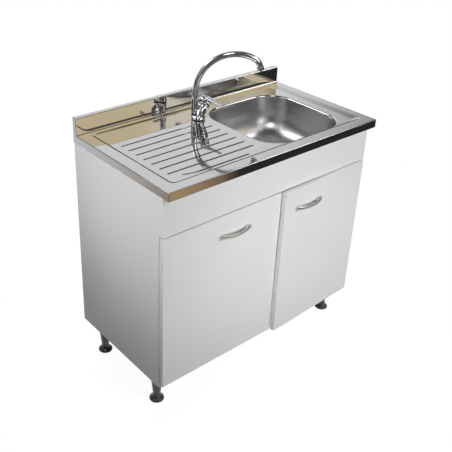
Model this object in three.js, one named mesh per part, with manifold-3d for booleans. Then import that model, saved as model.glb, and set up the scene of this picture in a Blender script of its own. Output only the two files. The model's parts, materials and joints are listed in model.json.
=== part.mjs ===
// Kitchen sink unit: a two-door base cabinet on adjustable legs under a pressed stainless steel
// sink top with drainer, bowl and upstand, a swan-neck mixer tap, and the waste and trap below.
// Units are millimetres, +Z is up, +X is the user's right, and the user stands at -Y.

import * as THREE from 'three';
import { mergeVertices } from 'three/addons/utils/BufferGeometryUtils.js';
import Module from 'manifold-3d';

const wasm = await Module();
wasm.setup();

// ---- driving dimensions ----------------------------------------------------------------------

const seat = 0.3; // running gap left between pieces that rest on each other

// sink top
const topWidth = 900;
const topDepth = 500;
const deckHeight = 840; // floor to the raised rim of the deck
const bandHeight = 30; // folded edge band
const bandReturn = 12; // lower flange of the band, turned in
const sheet = 1.4; // steel sheet
const edgeRadius = 2.5; // rolled top edge of the band
const upstandHeight = 58;
const upstandDepth = 20;
const recessLeft = 40; // edge of the top to the anti-spill recess
const recessRight = 26;
const recessFront = 38;
const recessBack = 28;
const recessWall = 5; // steep wall at the left and front
const recessRightWall = 40; // gentle slope at the right
const recessBackWall = 20;
const recessDepth = 4;
const recessCorner = 18;
const recessSteps = 4; // facets round each corner of the recess

// drainer
const groovePitch = 39.2;
const grooveWidth = 8.5;
const grooveDepth = 2.2;
const grooveFirst = 62; // front edge of the top to the first groove
const grooveStart = 72; // left edge of the top to the groove ends
const grooveToBowl = 38; // groove ends to the bowl
const grooveToTap = 35; // least distance of the last groove from the tap's centre
const frontGrooveStart = 145;
const frontGrooveToBowl = 92;
const frontGrooveCurl = 42; // slanting end of the front groove
const curlAngle = 17;

// bowl
const bowlWidth = 354;
const bowlFromRight = 94;
const bowlFromFront = 54;
const bowlFromBack = 90;
const bowlCorner = 88;
const bowlDepth = 155; // rim of the deck to the bowl floor
const bowlDraft = 9; // how much each wall leans in
const bowlFloorRadius = 46;
const bowlFall = 3; // fall of the floor to the waste
const cornerSteps = 6; // facets round each corner of the bowl
const lipRadius = 6;
const lipDrop = 9;

// cabinet
const board = 18;
const legHeight = 105;
const sideOverhang = 2; // top beyond the side panels
const frontOverhang = 26; // top beyond the door fronts
const backOverhang = 1;
const doorStandoff = 3; // door back to the cabinet edge
const doorLift = 15; // door foot above the cabinet underside
const doorTopBelowDeck = 164;
const fasciaGap = 4;
const leftDoorShare = 0.5385; // split of the front between the doors
const doorGap = 3;
const backRailHeight = 100;
const battenWidth = 34;
const backBattenWidth = 27;
const battenClearance = 0.8; // folded edge to the timber
const bracketLeg = 30;
const bracketHeight = 60;
const bracketSteel = 2;

// hinges
const ajarAngle = 2.5; // right door at rest
const pivotInset = 7; // door edge to the pivot
const pivotDepth = 8; // door back to the pivot, inwards
const cupRadius = 17.5;
const cupEdge = 3; // door edge to the cup bore
const cupBoreDepth = 12.5;
const cupWall = 0.9;
const cupFlange = 1.5;
const cupWing = 27;
const hingeFromEnd = 90; // door end to the hinge centre
const armHeight = 12;
const armDepth = 46;
const fingerReach = 15;
const fingerThickness = 2;
const pinRadius = 1.6;
const plateHeight = 56;
const plateSetback = 30; // cabinet edge to the mounting plate's centre

// handles
const handleLength = 128;
const handleReach = 28;
const handleThick = 9;
const handleMiddle = 6.6;
const handleDrop = 70; // door top to the handle
const leftHandleFromSplit = 196;
const rightHandleFromSplit = 120;

// legs
const legFromSide = 33;
const legFromFront = 54; // cabinet edge to the front leg axes
const legFromBack = 84;
const legFlangeRadius = 31;
const legTopRadius = 20.5;
const legNeckRadius = 13;
const footHeight = 26;
const footRadius = 25;
const footScrew = 5;
const footScrewLength = 42;
const legSides = 12;

// tap
const tapFromBowl = 40; // bowl edge to the tap's centre
const tapFromBack = 128;
const pillarSetback = 18; // base centre to the spout pillar
const tapBaseRadius = 24;
const pillarRadius = 12.5;
const pillarHeight = 70;
const housingTilt = 25;
const housingLength = 66;
const housingRadius = 19.5;
const housingFoot = 15.5;
const spoutRadius = 10;
const spoutWall = 1.6;
const spoutBend = 131;
const spoutRise = 18; // straight part above the pillar
const spoutSweep = 118;
const hookBend = 40; // tighter bend at the spout's end
const hookSweep = 48;
const spoutTurn = 54; // swing from straight ahead, to the user's right
const aeratorRadius = 12;
const aeratorLength = 14;
const ballLift = 14; // housing top to the ball's centre
const ballRadius = 7.5;
const hoodWidth = 40; // domed hood of the lever, over the ball
const hoodLength = 46;
const hoodHeight = 35;
const hoodBack = 3.5; // ball to the hood's centre
const hoodUp = 2;
const hoodRim = 2.5; // ball to the hood's open underside
const leverLength = 91; // ball to the lever's tip
const leverWidth = 22;
const leverThick = 8;
const leverRoot = 15; // height of the lever above the ball, at the hood
const leverTip = 9.5;
const shankRadius = 16;
const shankLength = 48;
const clampRadius = 24;
const clampThick = 3;
const nutHeight = 10;
const gasketThick = 2;
const inletRadius = 5;
const inletLength = 22;
const inletSpacing = 15;
const tapSides = 24; // facets round the tap's base and housing

// waste and trap
const wasteFlangeRadius = 56;
const wasteFlangeThick = 2;
const wasteCupRadius = 40;
const wasteCupDepth = 34;
const wasteWall = 1.8;
const wasteThroat = 18;
const wasteTail = 26;
const wasteHoleClearance = 2;
const wasteSides = 20; // facets round nested waste fittings
const foldSteps = 3; // facets round each folded corner of the top
const wasteNutRadius = 58;
const wasteNutHeight = 9;
const basketWall = 1.4;
const basketDepth = 26;
const basketHoles = 8;
const basketHoleRadius = 3;
const knobRadius = 9;
const pipeRadius = 16;
const pipeWall = 1.8;
const trapNutRadius = 27;
const trapNutHeight = 20;
const bottleRadius = 33;
const bottleHeight = 92;
const trapCupHeight = 46;
const outletDrop = 22; // bottle top to the outlet axis
const outletFromWall = 8;

// ---- worked-out places -----------------------------------------------------------------------

const left = -topWidth / 2;
const right = topWidth / 2;
const recessFloor = deckHeight - recessDepth;
const bandFoot = deckHeight - bandHeight;
const carcassLeft = left + sideOverhang;
const carcassRight = right - sideOverhang;
const carcassFront = frontOverhang + board + doorStandoff;
const carcassBack = topDepth - backOverhang;
const carcassTop = bandFoot - seat;
const doorFront = frontOverhang;
const doorBack = doorFront + board;
const doorFoot = legHeight + doorLift;
const doorHead = deckHeight - doorTopBelowDeck;
const split = carcassLeft + leftDoorShare * (carcassRight - carcassLeft);
const bowlLength = topDepth - bowlFromFront - bowlFromBack;
const bowlX = right - bowlFromRight - bowlWidth / 2;
const bowlY = bowlFromFront + bowlLength / 2;
const bowlLeft = bowlX - bowlWidth / 2;
const bowlTop = recessFloor - lipDrop - seat;
const bowlFloor = deckHeight - bowlDepth;
const tapX = bowlLeft - tapFromBowl;
const tapY = topDepth - tapFromBack;
const grooveCount = 1 + Math.floor((tapY - grooveToTap - grooveFirst) / groovePitch);
const tapSeat = recessFloor + gasketThick + 2 * seat;

// ---- materials -------------------------------------------------------------------------------

const finish = (color, roughness, metalness) =>
  new THREE.MeshStandardMaterial({ color, roughness, metalness });

const materials = {
  whiteBoard: finish(0xe9e9ea, 0.35, 0),
  polishedSteel: finish(0xb9b8b4, 0.12, 1),
  satinSteel: finish(0xa9abae, 0.32, 1),
  chrome: finish(0xd4d6da, 0.06, 1),
  satinNickel: finish(0xa8a7a5, 0.3, 1),
  graphite: finish(0x33342f, 0.4, 0),
  timber: finish(0xc9a777, 0.7, 0),
  zincSteel: finish(0x9a9c9e, 0.4, 1),
  whitePlastic: finish(0xeeeeec, 0.4, 0),
  rubber: finish(0x202020, 0.8, 0),
};

// ---- solids ----------------------------------------------------------------------------------

function toSolid(geometry) {
  const bare = geometry.clone();
  bare.deleteAttribute('normal');
  bare.deleteAttribute('uv');
  const merged = mergeVertices(bare, 1e-4);
  const index = merged.index.array;
  const kept = [];
  for (let i = 0; i < index.length; i += 3) {
    const [a, b, c] = [index[i], index[i + 1], index[i + 2]];
    if (a !== b && b !== c && c !== a) kept.push(a, b, c);
  }
  return new wasm.Manifold(new wasm.Mesh({
    numProp: 3,
    vertProperties: new Float32Array(merged.attributes.position.array),
    triVerts: new Uint32Array(kept),
  }));
}

function toGeometry(solid) {
  const mesh = solid.getMesh();
  const geometry = new THREE.BufferGeometry();
  geometry.setAttribute('position', new THREE.BufferAttribute(new Float32Array(mesh.vertProperties), 3));
  geometry.setIndex(new THREE.BufferAttribute(new Uint32Array(mesh.triVerts), 1));
  geometry.computeVertexNormals();
  return geometry;
}

const place = (geometry, x, y, z) => geometry.translate(x, y, z);

// A box between two corners.
function block(x0, x1, y0, y1, z0, z1) {
  const geometry = new THREE.BoxGeometry(x1 - x0, y1 - y0, z1 - z0);
  return toSolid(place(geometry, (x0 + x1) / 2, (y0 + y1) / 2, (z0 + z1) / 2));
}

// An upright cylinder from z0 to z1.
function rod(radius, z0, z1, sides = 20, x = 0, y = 0) {
  const geometry = new THREE.CylinderGeometry(radius, radius, z1 - z0, sides).rotateX(Math.PI / 2);
  return toSolid(place(geometry, x, y, (z0 + z1) / 2));
}

// A body turned about Z from [radius, height] pairs that start and end on the axis.
function turned(profile, sides = 24) {
  const points = profile.map(([r, z]) => new THREE.Vector2(r, z));
  return toSolid(new THREE.LatheGeometry(points, sides).rotateX(Math.PI / 2));
}

// A ring turned about Z from a closed loop of [radius, height] pairs, anticlockwise.
const turnedRing = (profile, sides = 24) => turned([...profile, profile[0]], sides);

// One closed ring of points: a rectangle with rounded corners at one height.
function ring(halfX, halfY, radius, z, steps = 8) {
  const points = [];
  const centres = [[1, 1, 0], [-1, 1, 90], [-1, -1, 180], [1, -1, 270]];
  for (const [sx, sy, start] of centres) {
    for (let i = 0; i <= steps; i += 1) {
      const angle = THREE.MathUtils.degToRad(start + (90 * i) / steps);
      points.push(new THREE.Vector3(
        sx * (halfX - radius) + radius * Math.cos(angle),
        sy * (halfY - radius) + radius * Math.sin(angle),
        z,
      ));
    }
  }
  return points;
}

// Quads between successive rings; closed on itself, or shut with a fan at each end.
function skin(rings, looped = false) {
  const size = rings[0].length;
  const positions = rings.flat().flatMap((point) => point.toArray());
  const index = [];
  const spans = looped ? rings.length : rings.length - 1;
  for (let k = 0; k < spans; k += 1) {
    const low = k * size;
    const high = ((k + 1) % rings.length) * size;
    for (let i = 0; i < size; i += 1) {
      const j = (i + 1) % size;
      index.push(low + i, low + j, high + j, low + i, high + j, high + i);
    }
  }
  if (!looped) {
    const last = (rings.length - 1) * size;
    for (let i = 1; i < size - 1; i += 1) {
      index.push(0, i + 1, i, last, last + i, last + i + 1);
    }
  }
  const geometry = new THREE.BufferGeometry();
  geometry.setAttribute('position', new THREE.Float32BufferAttribute(positions, 3));
  geometry.setIndex(index);
  return toSolid(geometry);
}

// A solid stacked from rounded rectangles, each [inset, z]: a pan, a recess or a groove.
function stack(halfX, halfY, corner, layers, x, y, steps = 6) {
  const rings = layers.map(([inset, z]) =>
    ring(halfX - inset, halfY - inset, Math.max(corner - inset, 0.4), z, steps));
  return skin(rings).translate(x, y, 0);
}

// A rod that follows a path of [point, across, up] frames, with a half size across and up.
function swept(frames, sides) {
  const rings = frames.map(({ at, across, up, a, b }) => {
    const points = [];
    for (let i = 0; i < sides; i += 1) {
      const angle = (2 * Math.PI * i) / sides;
      points.push(at.clone()
        .addScaledVector(across, a * Math.cos(angle))
        .addScaledVector(up, b * Math.sin(angle)));
    }
    return points;
  });
  return skin(rings);
}

// ---- scene helpers ---------------------------------------------------------------------------

const unit = new THREE.Group();

function add(name, solid, material, parent = unit) {
  const mesh = new THREE.Mesh(toGeometry(solid), material);
  mesh.name = name;
  parent.add(mesh);
  return mesh;
}

// ---- sink top --------------------------------------------------------------------------------

// Outside of the folded pan and upstand, or its inside when grown by a negative sheet.
function panBody(inset, foot, head) {
  const halfX = topWidth / 2;
  const halfY = topDepth / 2;
  const radius = edgeRadius;
  const pan = stack(halfX, halfY, radius + 0.5, [
    [inset, foot], [inset, head - radius],
    [inset + radius * 0.3, head - radius * 0.3], [inset + radius, head],
  ], 0, halfY, foldSteps);
  const upHead = deckHeight + upstandHeight - inset;
  const upstand = stack(halfX, upstandDepth / 2, radius + 0.5, [
    [inset, foot], [inset, upHead - radius],
    [inset + radius * 0.3, upHead - radius * 0.3], [inset + radius, upHead],
  ], 0, topDepth - upstandDepth / 2, foldSteps);
  return pan.add(upstand);
}

function panInside() {
  const halfX = topWidth / 2;
  const halfY = topDepth / 2;
  const mouth = stack(halfX, halfY, bandReturn + 1, [
    [bandReturn, bandFoot - 1], [bandReturn, bandFoot + sheet + 1],
  ], 0, halfY, foldSteps);
  return panBody(sheet, bandFoot + sheet, deckHeight - sheet).add(mouth);
}

// One outline of the recess: share is 0 at its rim and 1 at its floor.
function recessRing(share, z, grow) {
  const x0 = left + recessLeft + share * recessWall - grow;
  const x1 = right - recessRight - share * recessRightWall + grow;
  const y0 = recessFront + share * recessWall - grow;
  const y1 = topDepth - recessBack - share * recessBackWall + grow;
  const middle = new THREE.Vector3((x0 + x1) / 2, (y0 + y1) / 2, 0);
  return ring((x1 - x0) / 2, (y1 - y0) / 2, recessCorner + grow, z, recessSteps)
    .map((point) => point.add(middle));
}

// The recess as a void above the steel, or as the steel's underside when grown by the sheet.
function recessSolid(grow, head) {
  const floor = recessFloor - grow;
  const rim = deckHeight - grow;
  return skin([
    recessRing(1, floor, grow), recessRing(0.75, floor + 0.15 * recessDepth, grow),
    recessRing(0.25, rim - 0.15 * recessDepth, grow), recessRing(0, rim, grow),
    recessRing(0, head, grow),
  ]);
}

function groove(length, x, y, turn, grow, head) {
  const half = grooveWidth / 2 + grow;
  const floor = recessFloor - grow;
  const body = stack(length / 2 + grow, half, half - 0.05, [
    [grooveDepth, floor - grooveDepth], [0, floor], [0, head],
  ], length / 2, 0, 2);
  return body.rotate(0, 0, turn).translate(x, y, 0);
}

// All the drainer's grooves; the front one is shorter and curls round the corner.
function grooves(grow, head) {
  const frontLength = bowlLeft - frontGrooveToBowl - left - frontGrooveStart;
  const length = bowlLeft - grooveToBowl - left - grooveStart;
  let all = groove(frontLength, left + frontGrooveStart, grooveFirst, 0, grow, head);
  all = all.add(groove(
    frontGrooveCurl + grooveWidth, left + frontGrooveStart + grooveWidth / 2,
    grooveFirst, 180 - curlAngle, grow, head,
  ));
  for (let i = 1; i < grooveCount; i += 1) {
    const y = grooveFirst + i * groovePitch;
    all = all.add(groove(length, left + grooveStart, y, 0, grow, head));
  }
  return all;
}

// The rolled lip round the bowl opening, turned down through a quarter circle.
function bowlLip() {
  const profile = [];
  const roll = lipRadius;
  for (let i = 0; i <= 3; i += 1) {
    const angle = (Math.PI / 2) * (i / 3);
    profile.push([-roll + roll * Math.sin(angle), recessFloor - roll + roll * Math.cos(angle)]);
  }
  profile.push([0, recessFloor - lipDrop]);
  profile.push([-sheet, recessFloor - lipDrop]);
  for (let i = 3; i >= 0; i -= 1) {
    const angle = (Math.PI / 2) * (i / 3);
    const inner = roll - sheet;
    profile.push([-roll + inner * Math.sin(angle), recessFloor - roll + inner * Math.cos(angle)]);
  }
  profile.push([-roll - 2, recessFloor - sheet]);
  profile.push([-roll - 2, recessFloor]);
  const rings = profile.map(([inset, z]) =>
    ring(bowlWidth / 2 - inset, bowlLength / 2 - inset, bowlCorner - inset, z, cornerSteps));
  return skin(rings, true).translate(bowlX, bowlY, 0);
}

function sinkTop() {
  let top = panBody(0, bandFoot, deckHeight).subtract(panInside());
  top = top.add(recessSolid(sheet, deckHeight - sheet / 2));
  top = top.subtract(recessSolid(0, deckHeight + 2));
  top = top.add(grooves(sheet, recessFloor - sheet / 2));
  top = top.subtract(grooves(0, recessFloor + 1));
  const opening = stack(bowlWidth / 2, bowlLength / 2, bowlCorner, [
    [-lipRadius - 1, bandFoot], [-lipRadius - 1, deckHeight + 1],
  ], bowlX, bowlY, cornerSteps);
  top = top.subtract(opening).add(bowlLip());
  const tapHole = rod(shankRadius + 1, bandFoot, deckHeight + 1, 24, tapX, tapY);
  add('sink_top', top.subtract(tapHole), materials.polishedSteel);
}

// ---- bowl ------------------------------------------------------------------------------------

// Rings down one face of the bowl, from the rim to the waste hole; grow is 0 inside, or the sheet.
function bowlFace(grow) {
  const rings = [];
  const halfX = bowlWidth / 2 + grow;
  const halfY = bowlLength / 2 + grow;
  const corner = bowlCorner + grow;
  const floor = bowlFloor - grow;
  const radius = bowlFloorRadius + grow;
  const at = (inset, z) => ring(halfX - inset, halfY - inset, corner - inset * 0.4, z, cornerSteps);
  rings.push(at(0, bowlTop));
  rings.push(at(bowlDraft * 0.5, (bowlTop + floor + radius) / 2));
  for (let i = 0; i <= 5; i += 1) {
    const angle = (Math.PI / 2) * (i / 5);
    rings.push(at(
      bowlDraft + radius * (1 - Math.cos(angle)),
      floor + radius * (1 - Math.sin(angle)),
    ));
  }
  const round = (r, z) => ring(r + 0.4, r + 0.4, r, z, cornerSteps);
  rings.push(round(wasteFlangeRadius + 4, floor - bowlFall + 0.6));
  rings.push(round(wasteFlangeRadius + 1 + grow, floor - bowlFall));
  rings.push(round(wasteFlangeRadius + 0.6 + grow, floor - bowlFall - wasteFlangeThick));
  rings.push(round(wasteCupRadius + wasteHoleClearance, floor - bowlFall - wasteFlangeThick));
  return rings;
}

function bowl() {
  const inside = bowlFace(0);
  const outside = bowlFace(sheet);
  const solid = skin([...outside, ...inside.reverse()].reverse(), true);
  add('bowl', solid.translate(bowlX, bowlY, 0), materials.satinSteel);
}

// ---- cabinet ---------------------------------------------------------------------------------

function sidePanels() {
  const panel = (x) => block(x, x + board, carcassFront, carcassBack, legHeight, carcassTop);
  add('side_panel_left', panel(carcassLeft), materials.whiteBoard);
  add('side_panel_right', panel(carcassRight - board), materials.whiteBoard);
}

const innerLeft = carcassLeft + board + seat;
const innerRight = carcassRight - board - seat;

function crossBoards() {
  const railFront = carcassBack - board;
  const floorPanel = block(
    innerLeft, innerRight, carcassFront, railFront - seat, legHeight, legHeight + board,
  );
  add('bottom_panel', floorPanel, materials.whiteBoard);
  const upper = block(
    innerLeft, innerRight, railFront, carcassBack, carcassTop - backRailHeight, carcassTop,
  );
  add('back_rail_upper', upper, materials.whiteBoard);
  const lower = block(
    innerLeft, innerRight, railFront, carcassBack, legHeight, legHeight + board + backRailHeight,
  );
  add('back_rail_lower', lower, materials.whiteBoard);
  const fasciaBack = carcassFront - seat;
  const fascia = block(
    carcassLeft, carcassRight, fasciaBack - board, fasciaBack,
    doorHead + fasciaGap, carcassTop - seat,
  );
  add('fascia_panel', fascia, materials.whiteBoard);
}

// Steel angles that hold the fascia to the side panels.
function fasciaBrackets() {
  const middle = (doorHead + fasciaGap + carcassTop) / 2;
  const low = middle - bracketHeight / 2;
  const high = middle + bracketHeight / 2;
  for (const [name, face, way] of [['left', innerLeft, 1], ['right', innerRight, -1]]) {
    const back = carcassFront + seat;
    const xs = [face, face + way * bracketLeg].sort((a, b) => a - b);
    const legs = [face, face + way * bracketSteel].sort((a, b) => a - b);
    const across = block(xs[0], xs[1], back, back + bracketSteel, low, high);
    const along = block(legs[0], legs[1], back, back + bracketLeg, low, high);
    add(`fascia_bracket_${name}`, across.add(along), materials.zincSteel);
  }
}

// Timber frame that packs out the folded edge of the sink top and carries it on the cabinet.
function battens() {
  const low = bandFoot + sheet + seat;
  const high = deckHeight - sheet - edgeRadius;
  const edge = sheet + battenClearance;
  const front = edge + battenWidth;
  const back = topDepth - edge;
  const backFront = back - backBattenWidth;
  const wood = materials.timber;
  add('batten_front', block(left + edge, right - edge, edge, front, low, high), wood);
  add('batten_back', block(left + edge, right - edge, backFront, back, low, high), wood);
  const ends = [front + seat, backFront - seat];
  add('batten_left', block(left + edge, left + edge + battenWidth, ...ends, low, high), wood);
  add('batten_right', block(right - edge - battenWidth, right - edge, ...ends, low, high), wood);
}

// ---- doors, hinges and handles ---------------------------------------------------------------

// Door geometry is drawn about its pivot for a left-hung door: +X runs to the free edge and
// +Y into the cabinet. A right-hung door is its mirror image.
const hingeHeights = [doorFoot + hingeFromEnd, doorHead - hingeFromEnd];
const cupCentre = cupEdge + cupRadius - pivotInset;

function doorLeaf(width) {
  const low = -board + pivotDepth;
  let leaf = block(-pivotInset, width - pivotInset, low, pivotDepth, doorFoot, doorHead);
  for (const z of hingeHeights) {
    const bore = turned([[0, 0], [cupRadius, 0], [cupRadius, board], [0, board]], 16)
      .rotate(-90, 0, 0).translate(cupCentre, pivotDepth - cupBoreDepth, z);
    leaf = leaf.subtract(bore);
  }
  return leaf;
}

// Pressed cup with its screw wings, let into the back of the door.
function hingeCup(z) {
  const r = cupRadius - seat;
  const foot = seat;
  const mouth = cupBoreDepth + seat;
  const cup = turnedRing([
    [0.01, foot], [r, foot], [r, mouth + cupFlange],
    [r - cupWall, mouth + cupFlange], [r - cupWall, foot + cupWall], [0.01, foot + cupWall],
  ], 16);
  const wings = stack(cupRadius * 0.45, cupWing, 5, [
    [0, mouth], [0, mouth + cupFlange],
  ], 0, 0, 3).subtract(rod(r - 0.1, 0, board, 16));
  return cup.add(wings).rotate(-90, 0, 0)
    .translate(cupCentre, pivotDepth - cupBoreDepth, z);
}

// Arm, goose-neck and pin, fixed to the cabinet; the pin runs across the inside of the cup.
function hingeArm(z) {
  const innerFace = board - pivotInset + seat;
  const sideEdge = pivotDepth + doorStandoff;
  const plateMid = sideEdge + plateSetback;
  const half = armHeight / 2;
  const armStart = sideEdge + 4;
  const finger = fingerThickness / 2;
  const neck = block(-pinRadius, fingerReach + finger, -finger, finger, z - half / 2, z + half / 2)
    .add(block(fingerReach - finger, fingerReach + finger, -finger, armStart + 4,
      z - half / 2, z + half / 2));
  const arm = block(innerFace + 2, innerFace + 10, armStart, armStart + armDepth, z - half, z + half);
  const trough = block(innerFace + 3.2, innerFace + 8.8, armStart + 6, armStart + armDepth + 1,
    z, z + half + 1);
  const plate = block(innerFace, innerFace + 2.1, plateMid - 20, plateMid + 20, z - 9, z + 9)
    .add(block(innerFace, innerFace + 2.1, plateMid - 7, plateMid + 7,
      z - plateHeight / 2, z + plateHeight / 2));
  const inside = cupRadius - seat - cupWall;
  const halfChord = Math.sqrt(inside ** 2 - (cupCentre + pinRadius) ** 2) - seat;
  const pin = rod(pinRadius, z - halfChord, z + halfChord, 12);
  return neck.add(arm.subtract(trough)).add(plate).add(pin);
}

// Bow handle: a bent bar, thicker at its feet, standing off the door face.
function handle(x, z) {
  const half = handleLength / 2;
  const radius = (half ** 2 + handleReach ** 2) / (2 * handleReach);
  const reach = Math.asin(half / radius) + 0.1;
  const face = pivotDepth - board;
  const frames = [];
  const steps = 14;
  for (let i = 0; i <= steps; i += 1) {
    const t = (2 * i) / steps - 1;
    const angle = t * reach;
    const thick = handleMiddle + (handleThick - handleMiddle) * Math.abs(t) ** 1.5;
    frames.push({
      at: new THREE.Vector3(
        x + radius * Math.sin(angle), face - handleReach + radius * (1 - Math.cos(angle)), z,
      ),
      across: new THREE.Vector3(-Math.sin(angle), Math.cos(angle), 0),
      up: new THREE.Vector3(0, 0, 1),
      a: thick * 0.42,
      b: thick * 0.62,
    });
  }
  const wall = block(x - handleLength, x + handleLength, face - seat, face + 60, z - 20, z + 20);
  return swept(frames, 10).subtract(wall);
}

function addDoor(side, width, handleFromSplit, turn) {
  const hinged = side === 'left' ? carcassLeft + pivotInset : carcassRight - pivotInset;
  const mirror = side === 'left' ? (solid) => solid : (solid) => solid.mirror([1, 0, 0]);
  const door = new THREE.Group();
  door.position.set(hinged, doorBack - pivotDepth, 0);
  door.rotation.z = THREE.MathUtils.degToRad(turn);
  const fixed = new THREE.Group();
  fixed.position.copy(door.position);
  unit.add(door, fixed);
  add(`door_${side}`, mirror(doorLeaf(width)), materials.whiteBoard, door);
  const handleX = width - pivotInset - handleFromSplit;
  add(`handle_${side}`, mirror(handle(handleX, doorHead - handleDrop)), materials.satinNickel, door);
  hingeHeights.forEach((z, i) => {
    const level = i === 0 ? 'lower' : 'upper';
    add(`hinge_cup_${side}_${level}`, mirror(hingeCup(z)), materials.zincSteel, door);
    add(`hinge_arm_${side}_${level}`, mirror(hingeArm(z)), materials.zincSteel, fixed);
  });
}

function doors() {
  addDoor('left', split - doorGap / 2 - carcassLeft, leftHandleFromSplit, 0);
  addDoor('right', carcassRight - split - doorGap / 2, rightHandleFromSplit, ajarAngle);
}

// ---- legs ------------------------------------------------------------------------------------

function legColumn() {
  const top = legHeight - seat;
  const bore = footScrew + 1;
  return turned([
    [0, top], [legFlangeRadius, top], [legFlangeRadius, top - 4], [legTopRadius + 1, top - 7],
    [legTopRadius, top - 12], [legNeckRadius, footHeight],
    [bore, footHeight], [bore, footHeight + footScrewLength + 2],
    [0, footHeight + footScrewLength + 2],
  ].reverse(), legSides);
}

// Adjusting foot: a flared cup with a screw that runs up the column.
function legFoot() {
  const top = footHeight - seat;
  return turned([
    [0, 0], [footRadius - 1, 0], [footRadius, 1.5], [footRadius, 5],
    [footRadius - 3, 9], [legNeckRadius + 4, 14], [legNeckRadius, top - 2],
    [legNeckRadius - 0.6, top], [footScrew, top],
    [footScrew, footHeight + footScrewLength], [0, footHeight + footScrewLength],
  ], legSides);
}

function legs() {
  const xs = { left: carcassLeft + legFromSide, right: carcassRight - legFromSide };
  const ys = { front: carcassFront + legFromFront, back: carcassBack - legFromBack };
  for (const [row, y] of Object.entries(ys)) {
    for (const [side, x] of Object.entries(xs)) {
      add(`leg_column_${row}_${side}`, legColumn(), materials.graphite).position.set(x, y, 0);
      add(`leg_foot_${row}_${side}`, legFoot(), materials.graphite).position.set(x, y, 0);
    }
  }
}

// ---- tap -------------------------------------------------------------------------------------

const tap = new THREE.Group();
tap.position.set(tapX, tapY, tapSeat);
unit.add(tap);

// Cartridge housing, turned about its own axis and then leant towards the user.
function tilted(solid, lift = 0) {
  return solid.translate(0, 0, lift).rotate(housingTilt, 0, 0);
}

function tapBody() {
  const base = turned([
    [0, 0], [tapBaseRadius, 0], [tapBaseRadius, 3], [tapBaseRadius - 1.5, 6],
    [tapBaseRadius - 5, 9], [housingFoot, 16], [0, 16],
  ], tapSides);
  const pillar = turned([
    [0, 0], [pillarRadius + 1.5, 0], [pillarRadius + 1.5, 3], [pillarRadius, 6],
    [pillarRadius, pillarHeight - 2], [pillarRadius - 1, pillarHeight], [0, pillarHeight],
  ], 20).translate(0, pillarSetback, 0);
  const housing = tilted(turned([
    [0, 0], [housingFoot, 0], [housingFoot, housingLength * 0.35],
    [housingRadius, housingLength * 0.62], [housingRadius, housingLength - 2],
    [housingRadius - 1.5, housingLength], [0, housingLength],
  ], tapSides), 2);
  const web = block(-9, 9, -2, pillarSetback, 1, pillarHeight * 0.42);
  const shank = rod(shankRadius, -shankLength, 1, 24);
  const under = block(-60, 60, -60, 60, -12, 0).subtract(rod(shankRadius, -13, 1, 24));
  const upper = base.add(pillar).add(housing).add(web).subtract(under);
  add('tap_body', upper.add(shank), materials.chrome, tap);
}

// Everything that swings with the spout hangs in one group at the pillar's axis.
function spout() {
  const swing = new THREE.Group();
  swing.position.set(0, pillarSetback, pillarHeight + seat);
  swing.rotation.z = THREE.MathUtils.degToRad(spoutTurn);
  tap.add(swing);
  const rise = new THREE.LineCurve3(
    new THREE.Vector3(0, 0, 0), new THREE.Vector3(0, 0, spoutRise),
  );
  const bend = new SpoutArc(spoutBend, spoutRise, spoutBend, 0, spoutSweep);
  const bendEnd = bend.getPoint(1);
  const sweep = THREE.MathUtils.degToRad(spoutSweep);
  const hookOut = -bendEnd.y + hookBend * Math.cos(sweep);
  const hookUp = bendEnd.z - hookBend * Math.sin(sweep);
  const hook = new SpoutArc(hookOut, hookUp, hookBend, spoutSweep, spoutSweep + hookSweep);
  const path = new THREE.CurvePath();
  path.add(rise);
  path.add(bend);
  path.add(hook);
  const section = new THREE.Shape();
  section.absarc(0, 0, spoutRadius, 0, 2 * Math.PI, false);
  const bore = new THREE.Path();
  bore.absarc(0, 0, spoutRadius - spoutWall, 0, 2 * Math.PI, true);
  section.holes.push(bore);
  const tube = new THREE.ExtrudeGeometry(section, {
    steps: 24, curveSegments: 6, bevelEnabled: false, extrudePath: path,
  });
  add('tap_spout', toSolid(tube), materials.chrome, swing);
  const end = hook.getPoint(1);
  const aerator = turnedRing([
    [aeratorRadius - 3, 0], [aeratorRadius - 1, 0], [aeratorRadius, 1.2],
    [aeratorRadius, aeratorLength - 2], [aeratorRadius - 1, aeratorLength],
    [aeratorRadius - 3, aeratorLength],
  ], 16);
  const mesh = turned([
    [0, aeratorLength * 0.5], [aeratorRadius - 2.5, aeratorLength * 0.5],
    [aeratorRadius - 2.5, aeratorLength * 0.75], [0, aeratorLength * 0.75],
  ], 16);
  const head = add('tap_aerator', aerator.add(mesh), materials.chrome, swing);
  const along = hook.getTangent(1).normalize();
  head.position.copy(end).addScaledVector(along, seat);
  head.quaternion.setFromUnitVectors(new THREE.Vector3(0, 0, 1), along);
}

// An arc of the swan neck, in the upright plane towards -Y. Angle 0 is where the neck starts
// upright; out and up place the arc's centre.
class SpoutArc extends THREE.Curve {
  constructor(out, up, radius, from, to) {
    super();
    this.centre = new THREE.Vector3(0, -out, up);
    this.radius = radius;
    this.from = THREE.MathUtils.degToRad(from);
    this.to = THREE.MathUtils.degToRad(to);
  }

  getPoint(t, target = new THREE.Vector3()) {
    const angle = this.from + t * (this.to - this.from);
    return target.set(0, this.radius * Math.cos(angle), this.radius * Math.sin(angle))
      .add(this.centre);
  }
}

// Cartridge stem with the ball that the lever rocks on.
function tapStem() {
  const low = seat + 2;
  const top = ballLift - 2;
  const stem = turned([
    [0, low], [ballRadius + 6, low], [ballRadius + 6, low + 1.5], [5, low + 3],
    [4, low + 6], [4, top], [0, top],
  ], 16).translate(0, 0, housingLength);
  const ball = toSolid(new THREE.SphereGeometry(ballRadius, 12, 6).rotateX(Math.PI / 2))
    .translate(0, 0, housingLength + ballLift);
  add('tap_stem', tilted(stem.add(ball)), materials.chrome, tap);
}

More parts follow.
